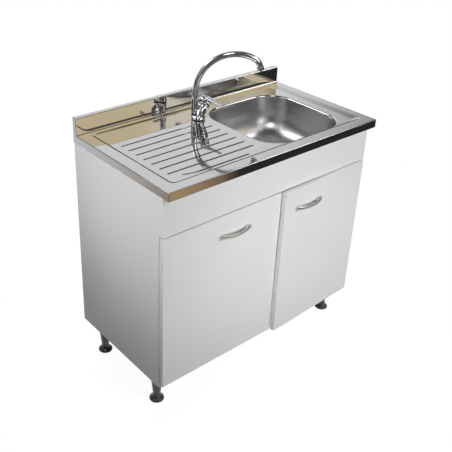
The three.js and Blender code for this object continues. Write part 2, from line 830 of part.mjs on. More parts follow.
// Domed hood of the lever, longer towards the back, with a pocket for the ball.
function leverHood() {
  const dome = toSolid(new THREE.SphereGeometry(1, 16, 8).rotateX(Math.PI / 2)
    .scale(hoodWidth / 2, hoodLength / 2, hoodHeight / 2)).translate(0, hoodBack, hoodUp);
  const reach = hoodLength;
  const under = block(-reach, reach, -reach, reach, -reach, -hoodRim);
  const pocket = toSolid(new THREE.SphereGeometry(ballRadius + 0.5, 12, 6).rotateX(Math.PI / 2))
    .add(turned([[0, -10], [hoodWidth * 0.4, -10], [0, 0]], 14));
  return dome.subtract(tilted(under.add(pocket)));
}

// Lever: the hood with a flat tapering handle that reaches to the user.
function tapLever() {
  const centre = new THREE.Vector3(0, 0, housingLength + ballLift)
    .applyAxisAngle(new THREE.Vector3(1, 0, 0), THREE.MathUtils.degToRad(housingTilt));
  const frames = [];
  const steps = 12;
  const start = ballRadius + 2;
  for (let i = 0; i <= steps; i += 1) {
    const t = i / steps;
    const end = i === steps ? 0.7 : 1;
    frames.push({
      at: new THREE.Vector3(
        0, -start - t * (leverLength - start), leverRoot + t * (leverTip - leverRoot),
      ),
      across: new THREE.Vector3(1, 0, 0),
      up: new THREE.Vector3(0, 0, 1),
      a: (leverWidth / 2) * (1 - 0.42 * t) * end,
      b: (leverThick / 2) * (1 - 0.45 * t) * end,
    });
  }
  const lever = leverHood().add(swept(frames, 10)).translate(centre.x, centre.y, centre.z);
  add('tap_lever', lever, materials.chrome, tap);
}

// Gasket above the deck, and the washer, nut and inlets below it.
function tapFixings() {
  const below = recessFloor - sheet - tapSeat - seat;
  const bore = shankRadius + seat;
  const ringAt = (radius, z0, z1, sides) => turnedRing([
    [bore, z0], [radius, z0], [radius, z1], [bore, z1],
  ], sides);
  add('tap_gasket', ringAt(tapBaseRadius - 0.5, -gasketThick - seat, -seat, tapSides), materials.rubber, tap);
  const washer = ringAt(clampRadius, below - clampThick, below, 24);
  add('tap_washer', washer, materials.zincSteel, tap);
  const nutTop = below - clampThick - seat;
  const hexagon = ringAt(clampRadius - 2, nutTop - nutHeight, nutTop, 6)
    .subtract(rod(bore, nutTop - nutHeight - 1, nutTop + 1, 20));
  add('tap_nut', hexagon, materials.zincSteel, tap);
  for (const [name, way] of [['hot', -1], ['cold', 1]]) {
    const x = (way * inletSpacing) / 2;
    const inlet = rod(inletRadius, -shankLength - inletLength, -shankLength - seat, 12, x, 0)
      .add(rod(inletRadius + 1.5, -shankLength - 8, -shankLength - 2, 6, x, 0));
    add(`tap_inlet_${name}`, inlet, materials.zincSteel, tap);
  }
}

// ---- waste and trap --------------------------------------------------------------------------

const waste = new THREE.Group();
waste.position.set(bowlX, bowlY, bowlFloor - bowlFall - wasteFlangeThick);
unit.add(waste);

function wasteBody() {
  const out = wasteCupRadius;
  const inn = wasteCupRadius - wasteWall;
  const deep = -wasteCupDepth;
  const solid = turnedRing([
    [wasteThroat - wasteWall, deep - wasteTail], [wasteThroat, deep - wasteTail],
    [wasteThroat, deep], [out - 4, deep], [out, deep + 6], [out, seat],
    [wasteFlangeRadius, seat], [wasteFlangeRadius - 1, seat + wasteFlangeThick],
    [inn + 3, seat + wasteFlangeThick], [inn, wasteWall - 3], [inn, deep + 7],
    [out - 5, deep + wasteWall], [wasteThroat - wasteWall, deep + wasteWall],
  ], wasteSides);
  add('waste_body', solid, materials.satinSteel, waste);
  const nutTop = -sheet - seat;
  const nut = turnedRing([
    [out + seat, nutTop - wasteNutHeight], [wasteNutRadius - 5, nutTop - wasteNutHeight],
    [wasteNutRadius - 4, nutTop - 3], [wasteNutRadius, nutTop - 3], [wasteNutRadius, nutTop],
    [out + seat, nutTop],
  ], wasteSides);
  add('waste_nut', nut, materials.whitePlastic, waste);
}

// Lift-out basket: a pressed cup with a ring of holes and a knob.
function strainer() {
  const out = wasteCupRadius - wasteWall - 0.8;
  const rim = wasteCupRadius - wasteWall + 2;
  const top = seat + wasteFlangeThick;
  const deep = top - basketDepth;
  let cup = turned([
    [0, deep], [out - 6, deep], [out - 2, deep + 4], [out - 1, -1.5], [rim, top + seat],
    [rim, top + seat + basketWall], [out - 1 - basketWall, 0],
    [out - 2 - basketWall, deep + 4 + basketWall], [out - 6, deep + basketWall],
    [4, deep + basketWall], [3, top - 8], [knobRadius, top - 4], [knobRadius - 1, top],
    [0, top + 1],
  ], 16);
  for (let i = 0; i < basketHoles; i += 1) {
    const angle = (2 * Math.PI * i) / basketHoles;
    const r = out * 0.56;
    cup = cup.subtract(rod(
      basketHoleRadius, deep - 1, deep + 3, 6, r * Math.cos(angle), r * Math.sin(angle),
    ));
  }
  add('strainer_basket', cup, materials.satinSteel, waste);
}

// Bottle trap: nut under the waste, bottle with its side outlet, screw cup and outlet pipe.
function trap() {
  const tail = -wasteCupDepth - wasteTail;
  const nutFoot = tail + 12 - trapNutHeight;
  const nut = turnedRing([
    [wasteThroat + seat, nutFoot], [trapNutRadius - 1, nutFoot], [trapNutRadius, nutFoot + 2],
    [trapNutRadius - 2, tail + 12], [wasteThroat + seat, tail + 12],
  ], wasteSides);
  add('trap_nut', nut, materials.whitePlastic, waste);
  const bottleTop = nutFoot - seat;
  const low = bottleTop - bottleHeight;
  const bore = pipeRadius - pipeWall;
  const wall = pipeWall + 0.4;
  const shell = turnedRing([
    [bore, bottleTop], [bore, low + trapCupHeight * 0.4], [pipeRadius, low + trapCupHeight * 0.4],
    [pipeRadius, bottleTop - 10 - wall], [bottleRadius - wall, bottleTop - 14 - wall],
    [bottleRadius - wall, low], [bottleRadius, low], [bottleRadius, bottleTop - 14],
    [pipeRadius + 6, bottleTop - 8], [pipeRadius + 6, bottleTop],
  ], wasteSides);
  const outletZ = bottleTop - outletDrop - pipeRadius;
  const spigotEnd = bottleRadius + 20;
  const across = (radius, from, to) =>
    rod(radius, from, to, 20).rotate(-90, 0, 0).translate(0, 0, outletZ);
  const spigot = across(pipeRadius + 2, bottleRadius - 6, spigotEnd)
    .subtract(rod(bottleRadius - wall, low - 1, bottleTop, wasteSides));
  const hole = across(bore, pipeRadius + 4, spigotEnd + 1);
  add('trap_bottle', shell.add(spigot).subtract(hole), materials.whitePlastic, waste);
  const cup = turned([
    [0, low - 10], [bottleRadius - 6, low - 10], [bottleRadius + 2, low - 4],
    [bottleRadius + 4, low + trapCupHeight * 0.5], [bottleRadius + seat, low + trapCupHeight * 0.5],
    [bottleRadius + seat, low - seat], [bottleRadius - 6, low - 7], [0, low - 7],
  ], wasteSides);
  add('trap_cup', cup, materials.whitePlastic, waste);
  const pipeEnd = topDepth - outletFromWall - bowlY;
  const nutEnd = spigotEnd + 12;
  const outletNut = across(trapNutRadius - 2, spigotEnd - 8, nutEnd)
    .subtract(across(pipeRadius + 2 + seat, spigotEnd - 9, spigotEnd + 1))
    .subtract(across(pipeRadius + seat, spigotEnd - 9, nutEnd + 1));
  add('trap_outlet_nut', outletNut, materials.whitePlastic, waste);
  const pipe = across(pipeRadius, spigotEnd + seat, pipeEnd)
    .subtract(across(bore, spigotEnd - 1, pipeEnd + 1));
  add('trap_outlet_pipe', pipe, materials.whitePlastic, waste);
}

// ---- assembly --------------------------------------------------------------------------------

sinkTop();
bowl();
sidePanels();
crossBoards();
fasciaBrackets();
battens();
doors();
legs();
tapBody();
spout();
tapStem();
tapLever();
tapFixings();
wasteBody();
strainer();
trap();

// The origin is on the floor, at the middle of the whole unit's footprint.
const sinkUnit = new THREE.Group();
sinkUnit.add(unit);
sinkUnit.updateMatrixWorld(true);
const footprint = new THREE.Box3().setFromObject(unit, true);
unit.position.y = -(footprint.min.y + footprint.max.y) / 2;
unit.position.x = -(footprint.min.x + footprint.max.x) / 2;

export default sinkUnit;
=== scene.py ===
"""Dressed model of a kitchen sink unit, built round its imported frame.

A white two-door cabinet on adjustable legs carries a pressed stainless steel top with a drainer,
a bowl and an upstand. A swan-neck mixer stands behind the drainer, and the waste and its bottle
trap hang below the bowl. Sizes in the classes are millimetres and degrees, unless a comment says
otherwise; Blender works in metres.
"""

from __future__ import annotations

import json
import logging
import math
from contextlib import contextmanager
from dataclasses import dataclass
from enum import Enum
from typing import Any, Callable, ClassVar, Iterator, Sequence

import bmesh
import bpy
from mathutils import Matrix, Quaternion, Vector

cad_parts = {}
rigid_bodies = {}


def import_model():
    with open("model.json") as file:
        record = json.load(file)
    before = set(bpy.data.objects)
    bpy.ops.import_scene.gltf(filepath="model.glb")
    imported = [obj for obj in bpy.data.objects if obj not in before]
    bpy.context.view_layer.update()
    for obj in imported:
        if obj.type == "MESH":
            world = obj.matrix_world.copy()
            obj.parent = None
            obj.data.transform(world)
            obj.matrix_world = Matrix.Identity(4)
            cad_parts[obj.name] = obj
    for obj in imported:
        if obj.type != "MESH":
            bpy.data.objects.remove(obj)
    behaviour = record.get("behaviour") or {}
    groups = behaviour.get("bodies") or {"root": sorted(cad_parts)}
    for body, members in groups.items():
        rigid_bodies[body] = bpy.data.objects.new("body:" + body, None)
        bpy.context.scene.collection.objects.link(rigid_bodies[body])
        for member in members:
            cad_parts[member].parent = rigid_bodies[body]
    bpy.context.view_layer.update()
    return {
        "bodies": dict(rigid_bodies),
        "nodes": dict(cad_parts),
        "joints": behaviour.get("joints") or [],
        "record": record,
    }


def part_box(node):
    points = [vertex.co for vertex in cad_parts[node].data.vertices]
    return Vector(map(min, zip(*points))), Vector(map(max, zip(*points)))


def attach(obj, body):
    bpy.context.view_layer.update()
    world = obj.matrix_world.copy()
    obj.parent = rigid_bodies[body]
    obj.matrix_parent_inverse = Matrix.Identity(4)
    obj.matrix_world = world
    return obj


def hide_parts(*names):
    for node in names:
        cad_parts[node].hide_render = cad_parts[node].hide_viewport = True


log = logging.getLogger("sink_unit")

MM = 0.001
TIP = 0.01  # radius in mm that stands for a closed tip while a form is turned
UP = Vector((0, 0, 1))
RIGHT = Vector((1, 0, 0))
Profile = Sequence[tuple[float, float]]
Thing = bpy.types.Object
Tree = bpy.types.NodeTree
Socket = bpy.types.NodeSocket


class Part(Enum):
    """What an edit selects."""

    VERT = "verts"
    EDGE = "edges"
    FACE = "faces"


class Side(Enum):
    """Left or right of the unit, as the user stands."""

    LEFT = -1
    RIGHT = 1


def point(*values: float) -> Vector:
    """A point or size given in millimetres, in metres."""
    return Vector(values) * MM


def linear(code: str) -> tuple[float, float, float, float]:
    """Turns an sRGB colour to the linear one that Blender works in.

    Args:
        code: Six hex digits.

    Returns:
        Linear red, green, blue and an alpha of 1.
    """
    shares = [int(code[i:i + 2], 16) / 255 for i in (0, 2, 4)]
    turned = [s / 12.92 if s <= 0.04045 else ((s + 0.055) / 1.055) ** 2.4 for s in shares]
    return (*turned, 1.0)


def grain(size: float) -> float:
    """The noise scale that gives features of a size in millimetres."""
    return 1 / (size * MM)


def node(tree: Tree, kind: str, inputs: dict | None = None, **settings: Any) -> bpy.types.Node:
    """Adds a shader node with its settings and links.

    Args:
        tree: The node tree it joins.
        kind: Blender's type name, without the ShaderNode prefix.
        inputs: Socket name or number to a value, or to the socket that feeds it.
        settings: Attributes of the node itself.

    Returns:
        The new node.
    """
    made = tree.nodes.new("ShaderNode" + kind)
    for key, value in settings.items():
        setattr(made, key, value)
    for socket, value in (inputs or {}).items():
        if isinstance(value, Socket):
            tree.links.new(value, made.inputs[socket])
        else:
            made.inputs[socket].default_value = value
    return made


# ---- workshop ----------------------------------------------------------------------------------


class Bench:
    """The modeller's hand tools: each drives Blender's own operators."""

    @staticmethod
    def only(*things: Thing) -> None:
        """Selects these objects and nothing else.

        Args:
            things: The objects, of which the first becomes active.
        """
        bpy.ops.object.select_all(action="DESELECT")
        for thing in things:
            thing.select_set(True)
        bpy.context.view_layer.objects.active = things[0]

    @staticmethod
    @contextmanager
    def editing(thing: Thing) -> Iterator[None]:
        """Holds edit mode open on an object, with all of it selected at the start.

        Args:
            thing: The object.

        Returns:
            What a with statement needs.
        """
        Bench.only(thing)
        bpy.ops.object.mode_set(mode="EDIT")
        bpy.ops.mesh.select_mode(type="VERT")
        bpy.ops.mesh.select_all(action="SELECT")
        yield
        bpy.ops.object.mode_set(mode="OBJECT")

    @staticmethod
    def pick(part: Part, test: Callable[[Any], bool]) -> None:
        """Selects, in edit mode, the elements that pass a test.

        Args:
            part: Corners, edges or faces.
            test: Takes one bmesh element and says whether it is wanted.
        """
        bpy.ops.mesh.select_mode(type=part.name)
        bpy.ops.mesh.select_all(action="DESELECT")
        data = bpy.context.edit_object.data
        for element in getattr(bmesh.from_edit_mesh(data), part.value):
            if test(element):
                element.select_set(True)
        bmesh.update_edit_mesh(data)

    @staticmethod
    def add(kind: str, name: str, scale: Sequence[float] = (1, 1, 1), **settings: Any) -> Thing:
        """Adds a primitive while nothing else is selected.

        Args:
            kind: Blender's word for it, such as circle.
            name: The piece's name.
            scale: How far it is stretched along each axis.
            settings: What the operator is told.

        Returns:
            The primitive, settled.
        """
        bpy.ops.object.select_all(action="DESELECT")
        getattr(bpy.ops.mesh, f"primitive_{kind}_add")(**settings)
        bpy.context.active_object.scale = scale
        return Bench.settle(name)

    @staticmethod
    def settle(name: str) -> Thing:
        """Names the active object and puts its place and size into its mesh.

        Args:
            name: The piece's name.

        Returns:
            The object, now at the origin.
        """
        thing = bpy.context.active_object
        thing.name = thing.data.name = name
        bpy.ops.object.transform_apply(location=True, rotation=True, scale=True)
        return thing

    @staticmethod
    def extrude(step: Sequence[float] = (0, 0, 0)) -> None:
        """Extrudes what is selected in edit mode by a step."""
        bpy.ops.mesh.extrude_region_move(TRANSFORM_OT_translate={"value": step})

    @staticmethod
    def ring_on(step: Vector, wide: float, long: float, centre: Vector) -> None:
        """Extrudes the selected loop by a step and scales it along X and Y about a centre."""
        Bench.extrude(step)
        bpy.ops.transform.resize(value=(wide, long, 1), center_override=centre)

    @staticmethod
    def face_out(merge: float = 0) -> None:
        """Turns every face of the edited mesh outwards.

        Args:
            merge: Corners closer than this, in mm, are made one first.
        """
        bpy.ops.mesh.select_all(action="SELECT")
        if merge:
            bpy.ops.mesh.remove_doubles(threshold=merge * MM)
        bpy.ops.mesh.normals_make_consistent(inside=False)

    @staticmethod
    def face_up(shell: Thing) -> None:
        """Turns an open shell over if most of it faces down.

        Args:
            shell: The shell.
        """
        if sum(p.area * p.normal.z for p in shell.data.polygons) < 0:
            with Bench.editing(shell):
                bpy.ops.mesh.flip_normals()

    @staticmethod
    def box(name: str, low: Vector, high: Vector, bevel: float = 0, steps: int = 3) -> Thing:
        """A block between two corners, with its edges rounded.

        Args:
            name: The piece's name.
            low: Lowest corner.
            high: Highest corner.
            bevel: Edge radius in mm, or 0 for none.
            steps: Facets across each rounding.

        Returns:
            The block.
        """
        block = Bench.add("cube", name, high - low, size=1, location=(low + high) / 2)
        if bevel:
            Bench.modify(block, "BEVEL", width=bevel * MM, segments=steps, limit_method="ANGLE")
        return block

    @staticmethod
    def turned(name: str, profile: Profile, at: Vector, sides: int = 64) -> Thing:
        """A form turned about an upright axis.

        Args:
            name: The piece's name.
            profile: Radius and height pairs in mm, in order along the outline.
            at: Where the axis meets height 0.
            sides: Facets round the axis.

        Returns:
            The form, closed where its profile is.
        """
        (radius, height), *rest = [(max(r, TIP), z) for r, z in profile]
        foot = at + UP * height * MM
        form = Bench.add("circle", name, vertices=sides, radius=radius * MM, location=foot)
        with Bench.editing(form):
            for r, z in rest:
                ratio = r / radius
                Bench.ring_on((z - height) * MM * UP, ratio, ratio, at + UP * z * MM)
                radius, height = r, z
            Bench.face_out(3 * TIP)
        return form

    @staticmethod
    def plate(
        name: str, centre: Vector, width: float, length: float, corner: float, steps: int
    ) -> Thing:
        """A flat face with rounded corners.

        Args:
            name: The piece's name.
            centre: Middle of the face.
            width: Size along X in mm.
            length: Size along Y in mm.
            corner: Corner radius in mm.
            steps: Facets round each corner.

        Returns:
            The face, facing up.
        """
        face = Bench.add("plane", name, (width * MM, length * MM, 1), size=1, location=centre)
        with Bench.editing(face):
            bpy.ops.mesh.bevel(offset=corner * MM, segments=steps, affect="VERTICES")
        return face

    @staticmethod
    def lofted(
        name: str, start: Vector, facing: Vector, stations: Sequence[Station], sides: int
    ) -> Thing:
        """A solid rod of changing oval section, extruded from station to station.

        Args:
            name: The piece's name.
            start: Centre of the first ring.
            facing: The way the first ring looks, along the rod.
            stations: The rings in order; each says its place, turn and half sizes.
            sides: Facets round the rod.

        Returns:
            The rod, shut at both ends.
        """
        rod = Bench.add(
            "circle", name, vertices=sides, radius=1, location=start, fill_type="NGON",
            rotation=facing.to_track_quat("Z", "Y").to_euler(),
        )
        with Bench.editing(rod):
            bpy.ops.mesh.select_mode(type="FACE")
            stations[0].draw(rod)
            for station in stations[1:]:
                Bench.extrude()
                station.draw(rod)
            Bench.face_out()
        return rod

    @staticmethod
    def sink(steps: Profile) -> None:
        """Insets the selected face again and again, each step an inset and a rise in mm."""
        for inset, rise in steps:
            bpy.ops.mesh.inset(thickness=inset * MM, depth=rise * MM)

    @staticmethod
    def turn(thing: Thing, degrees: float, axis: Vector, centre: Vector) -> Thing:
        """Turns a mesh about an upright or a level line, right-handed.

        Args:
            thing: The piece.
            degrees: How far.
            axis: The line's direction.
            centre: A point on the line.

        Returns:
            The piece.
        """
        with Bench.editing(thing):
            Bench.turn_picked(degrees, axis, centre)
        return thing

    @staticmethod
    def turn_picked(degrees: float, axis: Vector, centre: Vector) -> None:
        """Turns what is selected in edit mode about an upright or a level line, right-handed.

        Args:
            degrees: How far.
            axis: The line's direction.
            centre: A point on the line.
        """
        yaw = math.degrees(math.atan2(axis.y, axis.x))
        turns = (("Z", degrees),) if axis.z else (("Z", -yaw), ("X", degrees), ("Z", yaw))
        for letter, angle in turns:
            bpy.ops.transform.rotate(
                value=-math.radians(angle), orient_axis=letter, center_override=centre,
            )

    @staticmethod
    def modify(thing: Thing, kind: str, **settings: Any) -> Thing:
        """Adds a modifier and applies it.

        Args:
            thing: The piece.
            kind: Blender's name for the modifier.
            settings: The modifier's attributes.

        Returns:
            The piece.
        """
        modifier = thing.modifiers.new(kind, kind)
        for key, value in settings.items():
            setattr(modifier, key, value)
        Bench.only(thing)
        bpy.ops.object.modifier_apply(modifier=modifier.name)
        return thing

    @staticmethod
    def join(name: str, *things: Thing) -> Thing:
        """Makes one mesh of several.

        Args:
            name: The name of the whole.
            things: The meshes.

        Returns:
            The whole.
        """
        Bench.only(*things)
        bpy.ops.object.join()
        things[0].name = things[0].data.name = name
        return things[0]

    @staticmethod
    def copy(thing: Thing, name: str, step: Vector) -> Thing:
        """A copy with its own mesh, moved by a step.

        Args:
            thing: What is copied.
            name: The copy's name.
            step: How far it is moved.

        Returns:
            The copy.
        """
        Bench.only(thing)
        bpy.ops.object.duplicate()
        bpy.context.active_object.location = step
        return Bench.settle(name)

    @staticmethod
    def carve(thing: Thing, cutter: Thing) -> Thing:
        """Takes one closed form away from another and removes the cutter.

        Args:
            thing: What stays.
            cutter: The form that is taken away.

        Returns:
            What stays.
        """
        Bench.modify(thing, "BOOLEAN", operation="DIFFERENCE", solver="EXACT", object=cutter)
        bpy.data.objects.remove(cutter)
        return thing

    @staticmethod
    def smooth(thing: Thing, degrees: float = 35, weigh: bool = True) -> Thing:
        """Shades smoothly, with creases kept sharp.

        Args:
            thing: The piece.
            degrees: Edges that turn by more than this stay sharp.
            weigh: Whether large faces are kept flat.

        Returns:
            The piece.
        """
        Bench.only(thing)
        bpy.ops.object.shade_smooth_by_angle(angle=math.radians(degrees))
        if weigh:
            Bench.modify(thing, "WEIGHTED_NORMAL", keep_sharp=True, weight=80)
        return thing


@dataclass(frozen=True)
class Station:
    """One ring of a lofted rod: where it stands, its two half sizes and their directions."""

    at: Vector
    across: Vector
    up: Vector
    half_across: float
    half_up: float

    def draw(self, rod: Thing) -> None:
        """Moves the corners of the rod's selected end face onto this ring.

        Args:
            rod: The rod, in edit mode.
        """
        edit = bmesh.from_edit_mesh(rod.data)
        face = next(f for f in edit.faces if f.select)
        for i, corner in enumerate(face.verts):
            angle = 2 * math.pi * i / len(face.verts)
            sideways = self.across * self.half_across * math.cos(angle)
            corner.co = self.at + (sideways + self.up * self.half_up * math.sin(angle)) * MM
        bmesh.update_edit_mesh(rod.data)


# ---- finishes ----------------------------------------------------------------------------------


@dataclass(frozen=True)
class Finish:
    """What a surface is made of: a colour, a gloss and the marks of how it was worked."""

    name: str
    slot: str
    colour: str
    roughness: float
    made: ClassVar[dict[str, bpy.types.Material]] = {}

    def material(self) -> bpy.types.Material:
        """The Blender material for this finish, made once.

        Returns:
            The material.
        """
        if self.name not in self.made:
            fresh = bpy.data.materials.new(self.name)
            fresh.use_nodes = True
            tree = fresh.node_tree
            inputs = tree.nodes["Principled BSDF"].inputs
            for socket, value in self.plain().items():
                inputs[socket].default_value = value
            place = node(tree, "TexCoord").outputs["Object"]
            for socket, source in self.paint(tree, place).items():
                tree.links.new(source, inputs[socket])
            self.made[self.name] = fresh
        return self.made[self.name]

    def plain(self) -> dict[str, Any]:
        """The shader's values that are the same all over."""
        return {"Base Color": linear(self.colour), "Roughness": self.roughness}

    def paint(self, tree: Tree, place: Socket) -> dict[str, Socket]:
        """Makes the finish's own marks.

        Args:
            tree: The material's nodes.
            place: The socket with a point's place on the piece.

        Returns:
            What feeds the shader, by the name of its input.
        """
        raise NotImplementedError

    @staticmethod
    def spread(tree: Tree, source: Socket, low: float, high: float) -> Socket:
        """Turns a noise value to a range from low to high."""
        values = {"Value": source, "From Min": 0.3, "From Max": 0.7, "To Min": low, "To Max": high}
        return node(tree, "MapRange", values).outputs["Result"]


@dataclass(frozen=True)
class FacedBoard(Finish):
    """Melamine facing pressed on chipboard: a satin gloss with a faint orange peel."""

    peel: float = 1.6  # mm between the dimples of the pressed face
    wipe: float = 190  # mm across the patches that wiping leaves in the gloss
    tone: float = 420  # mm across the patches where the white is a little greyer
    greyer: str = "E4E4E6"

    def paint(self, tree: Tree, place: Socket) -> dict[str, Socket]:
        """Orange peel in the relief, and wiped and handled patches in the gloss.

        Args:
            tree: The material's nodes.
            place: The socket with a point's place on the piece.

        Returns:
            What feeds the shader, by the name of its input.
        """
        peel = node(tree, "TexNoise", {"Vector": place, "Scale": grain(self.peel), "Detail": 2.0})
        relief = node(tree, "Bump", {
            "Height": peel.outputs["Fac"], "Strength": 0.12, "Distance": 0.06 * MM,
        })
        wiped = node(tree, "TexNoise", {"Vector": place, "Scale": grain(self.wipe), "Detail": 3.0})
        rough = self.roughness
        gloss = self.spread(tree, wiped.outputs["Fac"], rough - 0.05, rough + 0.07)
        tint = node(tree, "TexNoise", {"Vector": place, "Scale": grain(self.tone), "Detail": 1.0})
        shade = node(tree, "Mix", {
            "Factor": self.spread(tree, tint.outputs["Fac"], 0.0, 0.5),
            "A": linear(self.colour), "B": linear(self.greyer),
        }, data_type="RGBA")
        return {
            "Base Color": shade.outputs["Result"], "Roughness": gloss,
            "Normal": relief.outputs["Normal"],
        }


@dataclass(frozen=True)
class RawChipboard(Finish):
    """Sawn chipboard: pale and dark wood flakes pressed together, with a rough dry edge."""

    flake: float = 3.2  # mm across a flake
    darkest: str = "8A6B44"
    palest: str = "D8BF94"

    def paint(self, tree: Tree, place: Socket) -> dict[str, Socket]:
        """Flakes of several browns, standing a little above and below each other.

        Args:
            tree: The material's nodes.
            place: The socket with a point's place on the piece.

        Returns:
            What feeds the shader, by the name of its input.
        """
        flakes = node(tree, "TexVoronoi", {"Vector": place, "Scale": grain(self.flake)})
        tones = node(tree, "ValToRGB", {"Fac": flakes.outputs["Color"]})
        ends = tones.color_ramp.elements
        ends[0].color, ends[1].color = linear(self.darkest), linear(self.palest)
        relief = node(tree, "Bump", {
            "Height": flakes.outputs["Distance"], "Strength": 0.5, "Distance": 0.4 * MM,
        })
        return {"Base Color": tones.outputs["Color"], "Normal": relief.outputs["Normal"]}


class Lay(Enum):
    """Which way a sheet was rolled, polished or brushed: the squeeze of its pattern."""

    ALONG = (0.03, 1.0, 1.0)
    ROUND = (1.0, 1.0, 1.0)


@dataclass(frozen=True)
class SteelSheet(Finish):
    """Stainless steel, 18/10: grey metal with fine polishing lines and a slightly wavy mirror."""

    lay: Lay = Lay.ALONG
    line: float = 0.9  # mm between lines, coarser than real ones so that they show
    line_depth: float = 0.03
    wave: float = 70  # mm between the soft waves that pressing leaves in the sheet
    wave_depth: float = 0.02
    wipe: float = 140  # mm across the patches that wiping leaves in the gloss
    centre: tuple[float, float] = (0, 0)  # mm, the axis that round lines run about
    brushed: float = 0.0  # how far a highlight stretches across the lines

    def plain(self) -> dict[str, Any]:
        """A metal, whose highlights stretch across its brushed lines."""
        return {**super().plain(), "Metallic": 1.0, "Anisotropic": self.brushed}

    def lines(self, tree: Tree, place: Socket) -> Socket:
        """Squeezes the place so that noise on it runs in lines.

        Args:
            tree: The material's nodes.
            place: The socket with a point's place on the piece.

        Returns:
            The socket with the place, squeezed along the sheet or round the bowl.
        """
        if self.lay is Lay.ALONG:
            squeezed = node(tree, "Mapping", {"Vector": place, "Scale": self.lay.value})
            return squeezed.outputs["Vector"]
        x, y = self.centre
        moved = node(tree, "Mapping", {"Vector": place, "Location": (-x * MM, -y * MM, 0)})
        split = node(tree, "SeparateXYZ", {"Vector": moved.outputs["Vector"]})
        flat = node(tree, "CombineXYZ", {"X": split.outputs["X"], "Y": split.outputs["Y"]})
        away = node(tree, "VectorMath", {0: flat.outputs["Vector"]}, operation="LENGTH")
        return node(tree, "CombineXYZ", {
            "X": away.outputs["Value"], "Y": split.outputs["Z"],
        }).outputs["Vector"]

    def paint(self, tree: Tree, place: Socket) -> dict[str, Socket]:
        """Lines, waves, and the patchy gloss of a wiped worktop.

        Args:
            tree: The material's nodes.
            place: The socket with a point's place on the piece.

        Returns:
            What feeds the shader, by the name of its input.
        """
        along = self.lines(tree, place)
        lines = node(tree, "TexNoise", {"Vector": along, "Scale": grain(self.line), "Detail": 3.0})
        waves = node(tree, "TexNoise", {"Vector": place, "Scale": grain(self.wave), "Detail": 1.0})
        soft = node(tree, "Bump", {
            "Height": waves.outputs["Fac"], "Strength": self.wave_depth, "Distance": 20 * MM,
        })
        fine = node(tree, "Bump", {
            "Height": lines.outputs["Fac"], "Strength": self.line_depth, "Distance": 0.3 * MM,
            "Normal": soft.outputs["Normal"],
        })
        wiped = node(tree, "TexNoise", {"Vector": place, "Scale": grain(self.wipe), "Detail": 2.0})
        rough = self.roughness
        fed = {
            "Roughness": self.spread(tree, wiped.outputs["Fac"], rough * 0.9, rough * 1.15),
            "Normal": fine.outputs["Normal"],
        }
        if self.brushed:
            tangent = node(tree, "Tangent", direction_type="RADIAL", axis="Z")
            fed["Tangent"] = tangent.outputs["Tangent"]
        return fed


@dataclass(frozen=True)
class Plating(Finish):
    """Plated metal: bright chrome or soft nickel over a cast or bent blank."""

    pit: float = 1.2  # mm between the faint dimples left under the plating
    depth: float = 0.02
    smear: float = 25  # mm across a water or finger mark

    def plain(self) -> dict[str, Any]:
        """A metal."""
        return {**super().plain(), "Metallic": 1.0}

    def paint(self, tree: Tree, place: Socket) -> dict[str, Socket]:
        """Dimples of the blank and a few dull marks from hands and water.

        Args:
            tree: The material's nodes.
            place: The socket with a point's place on the piece.

        Returns:
            What feeds the shader, by the name of its input.
        """
        pits = node(tree, "TexNoise", {"Vector": place, "Scale": grain(self.pit), "Detail": 2.0})
        relief = node(tree, "Bump", {
            "Height": pits.outputs["Fac"], "Strength": self.depth, "Distance": 0.2 * MM,
        })
        marks = node(tree, "TexNoise", {"Vector": place, "Scale": grain(self.smear), "Detail": 4.0})
        rough = self.roughness
        gloss = self.spread(tree, marks.outputs["Fac"], rough * 0.7, rough * 1.5)
        return {"Roughness": gloss, "Normal": relief.outputs["Normal"]}


@dataclass(frozen=True)
class ZincPlate(Finish):
    """Bright zinc on pressed steel: a grey metal with a faint crystal pattern."""

    crystal: float = 2.5  # mm across a crystal
    brightest: str = "C3C6C9"

    def plain(self) -> dict[str, Any]:
        """A metal."""
        return {**super().plain(), "Metallic": 1.0}

    def paint(self, tree: Tree, place: Socket) -> dict[str, Socket]:
        """Crystals that differ in tone and gloss.

        Args:
            tree: The material's nodes.
            place: The socket with a point's place on the piece.

        Returns:
            What feeds the shader, by the name of its input.
        """
        crystals = node(tree, "TexVoronoi", {"Vector": place, "Scale": grain(self.crystal)})
        tone = node(tree, "Mix", {
            "Factor": crystals.outputs["Color"],
            "A": linear(self.colour), "B": linear(self.brightest),
        }, data_type="RGBA")
        rough = self.roughness
        gloss = self.spread(tree, crystals.outputs["Distance"], rough, rough + 0.15)
        return {"Base Color": tone.outputs["Result"], "Roughness": gloss}


